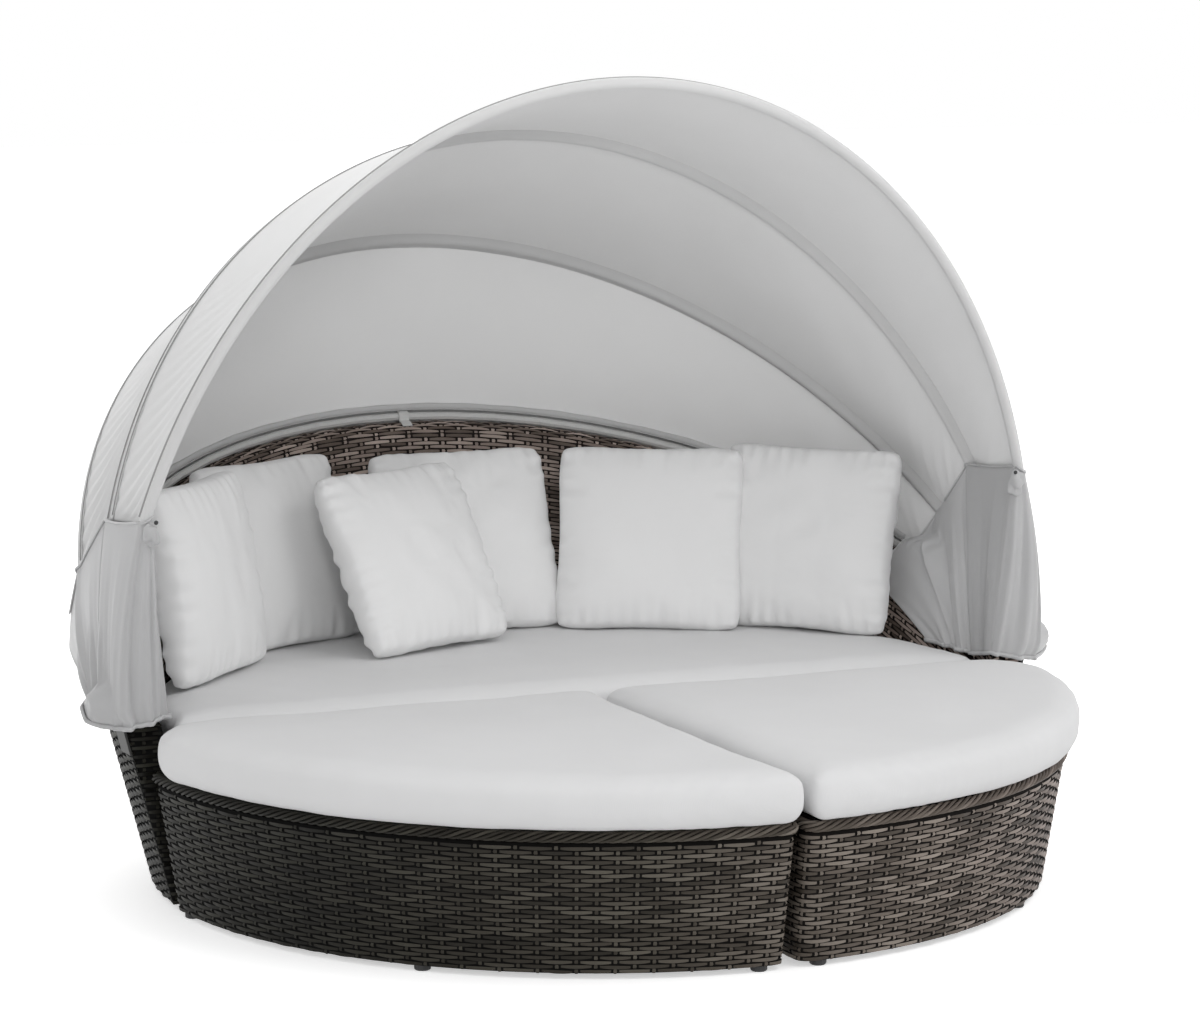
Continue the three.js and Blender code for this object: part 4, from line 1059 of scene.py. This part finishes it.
def gore_points(lower, upper, shares, across_steps, turned_under=0, rise=RISE, pulls=0.0028, seed=1):
    """Points [share, from lower to upper hoop] of the cloth's inner face."""
    a_point, a_along, a_out, _ = station(lower, shares)
    b_point, b_along, b_out, b_forward = station(upper, shares)
    chord = unit(b_point - a_point)
    a_leave, b_leave = leaving(chord, a_along, a_out), leaving(chord, b_along, b_out)
    a_over, b_over = lower["over"] + rise, upper["over"] + rise
    columns = [a_point + a_over * unit((1 - t) * a_out + t * a_leave) for t in OVER_HOOP[:-1]]
    start, end = a_point + a_leave * a_over, b_point + b_leave * b_over
    inward = unit(a_out + b_out)
    phases = np.random.default_rng(seed).uniform(0, 2 * np.pi, 8)
    shares = np.asarray(shares)
    from_hem = np.minimum(shares, 1 - shares)
    near_hem = np.where(shares < 0.5, 1.9 * np.exp(-from_hem / 0.12), 0.6 * np.exp(-from_hem / 0.05))
    for v in np.arange(across_steps + 1) / across_steps:
        middle = 4 * v * (1 - v)
        pull = 0.45 * np.sin(2 * np.pi * (2.6 * shares + 0.7 * v) + phases[0])
        pull += 0.3 * np.sin(2 * np.pi * (6.1 * shares - 1.3 * v) + phases[1])
        pull += 0.25 * np.sin(2 * np.pi * (11 * shares + 2.2 * v) + phases[2])
        turn = 2 * np.pi * HEM_CREASES * (from_hem - 0.08 * v) + phases[3]
        creases = np.minimum(1, from_hem / 0.012) * (np.sin(turn) + 0.35 * np.sin(2 * turn + 0.6) - 1)
        offset = pulls * middle**0.7 * (np.minimum(pull, 0.8) + near_hem * creases) - SAG * middle
        columns.append(start + (end - start) * v + inward * offset[:, None])
    columns += [b_point + b_over * unit((1 - t) * b_leave + t * b_out) for t in OVER_HOOP[1:]]
    for turn in np.pi * np.arange(1, turned_under + 1) / max(1, turned_under):
        columns.append(b_point + (b_out * np.cos(turn) + b_forward * np.sin(turn)) * b_over)
    return np.stack(columns, axis=1)


def sheet_from(name, co, thickness=SHEET):
    """A sheet through a grid of points, with half its thickness added on each side."""
    rows, columns = co.shape[:2]
    corners = [i * columns + j for i in range(rows - 1) for j in range(columns - 1)]
    faces = [[k, k + columns, k + columns + 1, k + 1] for k in corners]
    piece = mesh_piece(name, co.reshape(-1, 3), faces)
    modify(piece, "SOLIDIFY", thickness=thickness, offset=0)
    return smooth(piece)


def finish_sheet(piece, finish, body=None, replaces=()):
    """Finishes a sheet."""
    finish_piece(piece, finish, body, replaces)


def blend_in_bands(piece, gore, edges):
    """The cloth is parted into bands by their distance from the pivot, and the bands are joined
    and merged again."""
    name, bands = piece.name, []
    scene.tool_settings.mesh_select_mode = (False, False, True)
    for far in edges[:-1]:
        pick(piece)
        co = points(piece)
        reach = from_pivot(co[:, 1], co[:, 2])
        chosen = [bool(reach[list(p.vertices)].mean() < far) for p in piece.data.polygons]
        if not any(chosen) or all(chosen):
            continue
        piece.data.polygons.foreach_set("select", chosen)
        bpy.ops.object.mode_set(mode="EDIT")
        bpy.ops.mesh.separate(type="SELECTED")
        bpy.ops.object.mode_set(mode="OBJECT")
        bands += [o for o in bpy.context.selected_objects if o != piece]
    bands.append(piece)
    for band in bands:
        co = points(band)
        reach = float(from_pivot(co[:, 1], co[:, 2]).mean())
        start, end = (tuple(in_plane(line["angle"], 0.0, reach)) for line in hoop_lines[gore:gore + 2])
        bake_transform(band)
    pick(piece)
    for band in bands:
        band.select_set(True)
    bpy.context.view_layer.objects.active = piece
    bpy.ops.object.join()
    bpy.ops.object.mode_set(mode="EDIT")
    bpy.ops.mesh.select_all(action="SELECT")
    bpy.ops.mesh.remove_doubles(threshold=1e-5)
    bpy.ops.object.mode_set(mode="OBJECT")
    scene.tool_settings.mesh_select_mode = (True, False, False)
    piece.name = piece.data.name = name
    print(name, "turned in", len(bands), "bands")
    return piece


gores = [("rear", 18, 0, 0.0024), ("middle", 20, 0, 0.0034), ("front", 20, 8, 0.002)]
canopy_edges = np.geomspace(LOWEST, HIGHEST, 11)[1:]
near_shares = np.linspace(0, 0.2, 111)
gore_shares = np.concatenate([near_shares, np.linspace(0.2, 0.8, 81)[1:-1], 1 - near_shares[::-1]])
for k, (name, steps, under, pulls) in enumerate(gores):
    co = gore_points(*hoop_lines[k:k + 2], gore_shares, steps, under, pulls=pulls, seed=31 + k)
    piece = blend_in_bands(sheet_from(f"canopy_{name}_gore", co), k, canopy_edges)
    finish_sheet(piece, canopy_finish, None, [f"canopy_{name}_panel"])

# %% [markdown]
# ## Sleeves over the hoops
# Inside the canopy each hoop runs in a sewn sleeve: a strip of cloth whose two edges are stitched to the
# gores beside the hoop, and whose middle goes round the tube. It is laid like a gore, on a section that
# leaves one gore, passes inside the hoop and meets the next.
# %% Sew the sleeves
SLEEVE_REACH, SLEEVE_RADIUS = 0.019, HOOP_RADIUS + 0.0012
SLEEVE_EDGE = ((RISE, 1), (0.0022, 0.86))  # depth under the gore, and share of the reach
SLEEVE_TURNS = np.radians([8, 30, 52, 74])


def sleeve(body, lower, hoop, upper):
    shares = np.linspace(0, 1, 121)
    point, along, out, _ = station(hoop, shares)
    halves = []
    for other in (lower, upper):
        way = unit(station(other, shares)[0] - point)
        square = leaving(way, along, out)
        half = [point + square * (hoop["over"] - deep) + way * SLEEVE_REACH * share
                for deep, share in SLEEVE_EDGE]
        half += [point + SLEEVE_RADIUS * unit(way * math.cos(t) - out * math.sin(t)) for t in SLEEVE_TURNS]
        halves.append(half)
    co = np.stack([*halves[0], point - SLEEVE_RADIUS * out, *halves[1][::-1]], axis=1)
    finish_sheet(sheet_from(f"{body}_sleeve", co, 0.001), hem_finish, body)


sleeve("middle_hoop", back_line, middle_line_hoop, front_line)
sleeve("back_hoop", rear_line, back_line, middle_line_hoop)

# %% [markdown]
# ## Rolled hem, piping and seams
# The rear gore ends in a soft rolled hem above the tube on the sofa's back. A grey piping runs where
# the front gore leaves the front hoop, and double seams run over the two hoops in between. They are
# thin tubes along the hoops' lines.
# %% Sew along the hoops
def tube_along(name, centre, radius, body, finish, sides=8):
    out, up = square_to(np.gradient(centre, axis=0))
    size = np.broadcast_to(radius, len(centre))[:, None]
    co = tube_points(centre, size, out, up, sides)
    piece = face_outwards(mesh_piece(name, np.concatenate(co), tube_faces(sides, len(centre))))
    finish_piece(piece, finish, body)


def beside_hoop(hoop, other, shares, along_chord, off):
    """A line on the cloth's outer face, a little way from the hoop towards the other hoop."""
    point, along, out, _ = station(hoop, shares)
    chord = unit(station(other, shares)[0] - point)
    return point + leaving(chord, along, out) * (hoop["over"] + RISE + off) + chord * along_chord


seam_shares = np.linspace(0.004, 0.996, 161)
roll_shares = np.linspace(0.02, 0.98, 161)
roll_radius = 0.0075 + 0.0006 * np.sin(roll_shares * 160) + 0.0005 * np.sin(roll_shares * 61)
roll = beside_hoop(rear_line, back_line, roll_shares, HOOP_RADIUS + 0.0125, -0.0102)
tube_along("rear_rolled_hem", roll, roll_radius, "sofa", hem_finish, sides=12)
tube_along("rear_hem_piping", roll - [0, 0, 0.0088], 0.0011, "sofa", thread_finish)
piping = beside_hoop(front_line, middle_line_hoop, seam_shares, 0.004, 0.0008)
tube_along("front_hoop_piping", piping, 0.0026, "front_hoop", thread_finish)
seams = [("middle_hoop", middle_line_hoop, (back_line, front_line)),
         ("back_hoop", back_line, (rear_line, middle_line_hoop))]
for body, hoop, others in seams:
    for k, other in enumerate(others):
        line = beside_hoop(hoop, other, seam_shares, 0.016, 0.0004)
        tube_along(f"{body}_seam_{k + 1}", line, 0.0015, body, thread_finish, sides=6)

# %% [markdown]
# ## Rear valance
# Behind the sofa's back the rear gore goes on over the tube and hangs a little way down the wicker, so
# that no light shows between the tube and the wall.
# %% Hang the valance
valance_shares = np.linspace(0.012, 0.988, 161)
valance_angle = hem_turn * (2 * valance_shares - 1)
outward = np.stack([np.sin(valance_angle), np.cos(valance_angle), 0 * valance_angle], axis=1)
round_tube = [(0.0158 * math.cos(t), 0.0158 * math.sin(t)) for t in np.radians([95, 70, 45, 20])]
fall = [(0.027, -0.006), (0.0385, -0.017), (0.0435, -0.031), (0.0445, -0.046), (0.044, -0.062)]
centre_line = rear_point(valance_shares)
columns = []
for k, (off, up) in enumerate(round_tube + fall):
    flutter = 0.0016 * max(0, k - len(round_tube)) / 4 * (1 + np.sin(valance_shares * 120 + 0.5 * k))
    columns.append(centre_line + outward * (off + flutter)[:, None] + [0, 0, up])
valance_co = np.stack(columns, axis=1)
finish_sheet(sheet_from("rear_valance", valance_co), hem_finish, "sofa")

# %% [markdown]
# ## Side curtains
# On each side a curtain hides the feet of the hoops. It is one loop of satin: an outer layer hangs from
# the canopy's side hem, goes round the front hoop, and comes back as an inner layer that lies over the
# arm. It is gathered at the foot. The folds start at nothing under the hem and deepen downwards. A knot
# of the same cloth, with a black button, sits where the loop goes round the front hoop.
# %% Side hem and arm
HEM_STEPS = 16


def hem_line(end):
    """Points of the side hem from the rear hoop to the front hoop, their gore, and their place in it."""
    places, gore, place = [], [], []
    for k in range(3):
        co = gore_points(hoop_lines[k], hoop_lines[k + 1], [end], HEM_STEPS, 0, rise=0.0022, pulls=0.0)[0]
        places.append(co)
        gore += [k] * len(co)
        place += list(np.clip((np.arange(len(co)) - 3) / HEM_STEPS, 0, 1))
    return np.concatenate(places), np.array(gore), np.array(place)


def arm_top(y):
    return ARM_HEIGHT + BACK_RISE * np.maximum(0, y - CENTRE - BACK_Y)


def arm_face(y, z, inside):
    """Distance from the middle plane to the arm's outer or inner face."""
    radius = back_radius(z) - (BACK_THICK if inside else 0)
    return np.sqrt(np.maximum(0.01, radius**2 - (y - CENTRE - BACK_Y) ** 2))


HOOP_TURNS = np.radians([0, 7.6, 29.5, 51.5])  # of the rear to the front hoop when the canopy is folded
TUBE_ROOM, FACE_ROOM, FOLD_ROOM = 0.019, 0.006, 0.004  # from the inner layer to what it lies over
TOP_BAND, TOP_BLEND = 0.036, 0.032  # above the arm's top, where the layer bends out over it
ARM_END, END_SLOPE = CENTRE + 0.004, 3.0  # in front of the arm's end no face holds the cloth
NO_LIMIT = 9.0


def folded(y, z, gore):
    """Where points of the curtain go when the canopy folds back, from their angle between two hoops."""
    angle, reach = np.arctan2(z - PIVOT[2], y - PIVOT[1]), from_pivot(y, z)
    turn = np.interp(angle, [line["angle"] for line in hoop_lines], HOOP_TURNS)
    turn = np.clip(turn, HOOP_TURNS[gore][:, None], HOOP_TURNS[gore + 1][:, None])
    return PIVOT[1] + reach * np.cos(angle - turn), PIVOT[2] + reach * np.sin(angle - turn)


def inner_room(y, z, depth):
    """How far out the inner layer may lie beside the arm's inner face and the hoop on its top."""
    top = arm_top(y)
    at_tube = arm_face(y, top, True) + BACK_THICK / 2 - TUBE_ROOM
    at_face = arm_face(y, np.minimum(z, top), True) - FACE_ROOM - 0.3 * depth
    low = np.clip((top + TOP_BAND - z) / TOP_BLEND, 0, 1)
    limit = at_tube + (at_face - at_tube) * low + END_SLOPE * np.maximum(0, ARM_END - y)
    return np.where(z < top + TOP_BAND, limit, NO_LIMIT)


def outer_room(y, z, share, depth):
    """How far out the outer layer has to lie to clear the arm, the hoops' feet and the pivot's knob."""
    top = arm_top(y)
    above = np.maximum(0, z - top - 0.012)
    face = arm_face(y, np.minimum(z, top), False) + 0.007 + depth - 0.55 * above
    face = face - END_SLOPE * np.maximum(0, ARM_END - y)
    reach = from_pivot(y, z)
    width, height = 1.0775 - 0.0104 * share, 1.376 - 0.104 * share
    hoops = width * np.sqrt(1 - (reach / height) ** 2) - 3 * np.maximum(0, PIVOT[2] - 0.01 - z)
    knob = 1.1105 - 1.3 * np.maximum(0, reach - 0.025)
    return np.maximum(np.maximum(face, hoops + 0.4 * depth), knob)


# %% Shape a curtain
CURTAIN_STEPS, ROLL_STEPS, WRAP_STEPS = 34, 7, 27
ROLL_RADIUS, WELT_RADIUS = 0.0042, 0.0024
HANG_Y, HANG_Z, HANG_DOWN = 0.405 + CENTRE, 0.492, 0.22  # where the rear edge bends, and how far down
TOP_INSET, TOP_LIFT = 0.0265, 0.014  # of the inner layer's upper edge


def layer(tops, gore, place, inside, side):
    """Points [along the hem, down] of one layer, with positive x outwards from the middle plane."""
    lengths = reach_along(tops)
    share = (lengths / lengths[-1])[:, None]
    down = np.linspace(0, 1, CURTAIN_STEPS + 1)[None, :]
    x_top, y_top, z_top = np.abs(tops[:, 0:1]), tops[:, 1:2], tops[:, 2:3]
    # The two curtains' feet differ a little, as they do in the photograph.
    if inside:
        x_top = x_top - TOP_INSET * (1 - 0.6 * (4 * place * (1 - place))[:, None] ** 0.6)
        farther = 1 + TOP_LIFT / from_pivot(y_top, z_top)
        y_top, z_top = PIVOT[1] + (y_top - PIVOT[1]) * farther, PIVOT[2] + (z_top - PIVOT[2]) * farther
        foot_x = 0.952 + (0.026 if side < 0 else -0.004) * share**4
        foot_y, foot_z = CENTRE + 0.25 - 0.27 * share**0.7, 0.398 + 0.014 * share**4
    else:
        foot_x = 1.078 - (0.026 if side < 0 else 0.075) * share**3
        foot_y, foot_z = CENTRE + 0.084 - 0.106 * share, 0.394 + 0.06 * (1 - share) ** 3
    drop, turn = np.minimum(1, down / HANG_DOWN), np.clip((down - HANG_DOWN) / (1 - HANG_DOWN), 0, 1)
    hang = np.exp(-((share / 0.16) ** 1.6))
    y, z = y_top + (foot_y - y_top) * down, z_top + (foot_z - z_top) * down
    y = y + (y_top + (HANG_Y - y_top) * drop + (foot_y - HANG_Y) * turn - y) * hang
    z = z + (z_top + (HANG_Z - z_top) * drop + (foot_z - HANG_Z) * turn - z) * hang
    phase = (0.7 if inside else 1.9) + 0.8 * side
    fold = np.sin(2 * np.pi * (4.6 * share + 0.35 * down * np.sin(3.1 * share + phase)) + phase)
    fine = np.sin(2 * np.pi * (13.5 * share - 0.7 * down * np.cos(2.3 * share)) + 2 * phase)
    deep = np.sin(np.pi * np.minimum(1, down * 1.15) ** 1.2 / 2)
    spread = (0.35 + 0.65 * np.minimum(1, share / 0.12)) * (1 - 0.7 * share**9)
    depth = deep * (0.0145 * (0.5 + 0.5 * fold) + 0.007 * (0.5 + 0.5 * fine)) * spread
    if inside:
        x = x_top + (foot_x - x_top) * down**0.8 - depth
        room = np.minimum(inner_room(y, z, depth), inner_room(*folded(y, z, gore), depth) - FOLD_ROOM)
        x = np.minimum(x, room)
    else:
        x = x_top + (foot_x - x_top) * np.sin(np.pi / 2 * down) + depth
        x = np.maximum(x, outer_room(y, z, share, depth))
    return np.stack([x, y, z], axis=2)


def curtain(side):
    """Points [round the loop, down] of a curtain, the gore of each line of them and the hem's count."""
    tops, gore, place = hem_line(1.0 if side > 0 else 0.0)
    outer, inner = (layer(tops, gore, place, inside, side) for inside in (False, True))
    forward = np.array([0, -math.sin(front_line["angle"]), math.cos(front_line["angle"])])
    down = np.linspace(0, 1, CURTAIN_STEPS + 1)
    wraps = []
    for t in np.pi * np.arange(1, WRAP_STEPS) / WRAP_STEPS:
        ripple = np.sin(5.2 * t + 1.1 * side + 1.4 * np.sin(4 * down)) + 0.5 * np.sin(11.5 * t - 2.5 * down)
        bulge = 0.0145 + 0.012 * np.sin(np.pi * down) + 0.006 * np.minimum(1, 2.2 * down) * ripple
        half = inner[-1] + (outer[-1] - inner[-1]) * (1 + math.cos(t)) / 2
        wraps.append(half + forward * (math.sin(t) ** 0.8 * bulge)[:, None])
    ring = np.concatenate([outer, np.stack(wraps), inner[::-1]])
    first, last = ring[:, 0], ring[:, -1]
    out = unit((last - last.mean(axis=0)) * [1, 1, 0])
    rolls = [last + ROLL_RADIUS * ((1 - math.cos(t)) * out - [0, 0, math.sin(t)])
             for t in np.linspace(0, 1.6 * math.pi, ROLL_STEPS + 1)[1:]]
    away = np.sign(first[:, :1] - first[:, 0].mean()) * [1, 0, 0]
    away[len(tops):len(tops) + len(wraps)] = forward
    welt = [first + WELT_RADIUS * ((1 - math.cos(t)) * away + [0, 0, math.sin(t)])
            for t in np.linspace(0, 1.5 * math.pi, 6)[:0:-1]]
    ring = np.concatenate([np.stack(welt, axis=1), ring, np.stack(rolls, axis=1)], axis=1)
    part = np.concatenate([gore, np.full(len(wraps), 2), gore[::-1]])
    return ring * [side, 1, 1], part, len(tops)


# %% Tie a knot at each curtain's top
def ball(name, radius, segments, rings):
    deselect()
    bpy.ops.mesh.primitive_uv_sphere_add(segments=segments, ring_count=rings, radius=radius)
    piece = bpy.context.object
    piece.name = piece.data.name = name
    return smooth(piece), points(piece)


for side_name, side in (("left", -1), ("right", 1)):
    place = np.array([0.9925 * side - 0.0075, CENTRE - 0.05, 0.79])
    knot, co = ball(f"{side_name}_curtain_knot", 0.0165, 40, 24)
    rough = waves(co, 41 + side, (0.024, 0.013), (0.0034, 0.0016))
    place_points(knot, (co + unit(co) * rough[:, None]) * [1.0, 0.75, 1.45] + place)
    finish_piece(knot, flap_finish, "front_hoop")
    button, co = ball(f"{side_name}_curtain_button", 0.0045, 20, 12)
    place_points(button, co * [1, 0.6, 1] + place + [-0.008 * side, -0.012, 0.026])
    finish_piece(button, plastic_finish, "front_hoop")

# %% Hang the side curtains
curtain_edges = np.linspace(0.03, 0.42, 12)
for side_name, side in (("left", -1), ("right", 1)):
    ring, part, count = curtain(side)
    outward = np.arange(len(part)) < count
    for k, label in ((0, "outer"), (1, "outer"), (2, "front"), (1, "inner"), (0, "inner")):
        where = np.flatnonzero((part == k) & (outward if label == "outer" else ~outward | (label == "front")))
        first, last = where[0] - (label == "inner"), where[-1] + 1 + (label == "outer")
        co = ring[first:last][::side]
        piece = blend_in_bands(sheet_from(f"{side_name}_curtain_{label}_{k + 1}", co), k, curtain_edges)
        # Painted light: the inner layer takes the lighter copy of the satin.
        look = inner_layer_lightened_finish if label == "inner" else flap_finish
        finish_sheet(piece, look, None, [f"{side_name}_flap"])

# %% [markdown]
# ## World, floor and closing measurements
# The world and the floor are plain white. To the camera and in reflections the world shows at full
# white, and the floor glows a little on top of the light that falls on it. So both look white
# everywhere but in the soft shadow under the daybed.
# %% World
def seen(tree):
    """1 for what the camera, a reflection or a clear material sees, and 0 for the light on all else."""
    path = node(tree, "LightPath").outputs
    direct = calc(tree, "MAXIMUM", path["Is Camera Ray"], path["Is Glossy Ray"])
    return calc(tree, "MAXIMUM", direct, path["Is Transmission Ray"])


scene.world = bpy.data.worlds.new("studio")
scene.world.use_nodes = True
sky = scene.world.node_tree
light = sky.nodes["Background"]
light.inputs["Color"].default_value = (1, 1, 1, 1)
light.inputs["Strength"].default_value = 0.7
white = node(sky, "Background", Color=(1, 1, 1, 1), Strength=1.0)
both = node(sky, "MixShader", seen(sky), light.outputs[0], white.outputs[0])
sky.links.new(both.outputs[0], sky.nodes["World Output"].inputs["Surface"])
print("world", light.inputs["Strength"].default_value)

# %% Floor
deselect()
bpy.ops.mesh.primitive_plane_add(size=60)
floor = bpy.context.object
floor.name = "floor"
floor_finish, tree, shader = new_material("studio floor", Base_Color=(0.95, 0.95, 0.95, 1), Roughness=0.9)
glow = node(tree, "Emission", Strength=calc(tree, "MULTIPLY", seen(tree), 0.5))
both = node(tree, "AddShader", shader.outputs[0], glow.outputs[0])
tree.links.new(both.outputs[0], tree.nodes["Material Output"].inputs["Surface"])
floor.data.materials.append(floor_finish)
floor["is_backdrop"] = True
print("floor", floor.dimensions[0])

# %% Measure the box of what is shown
low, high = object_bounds()
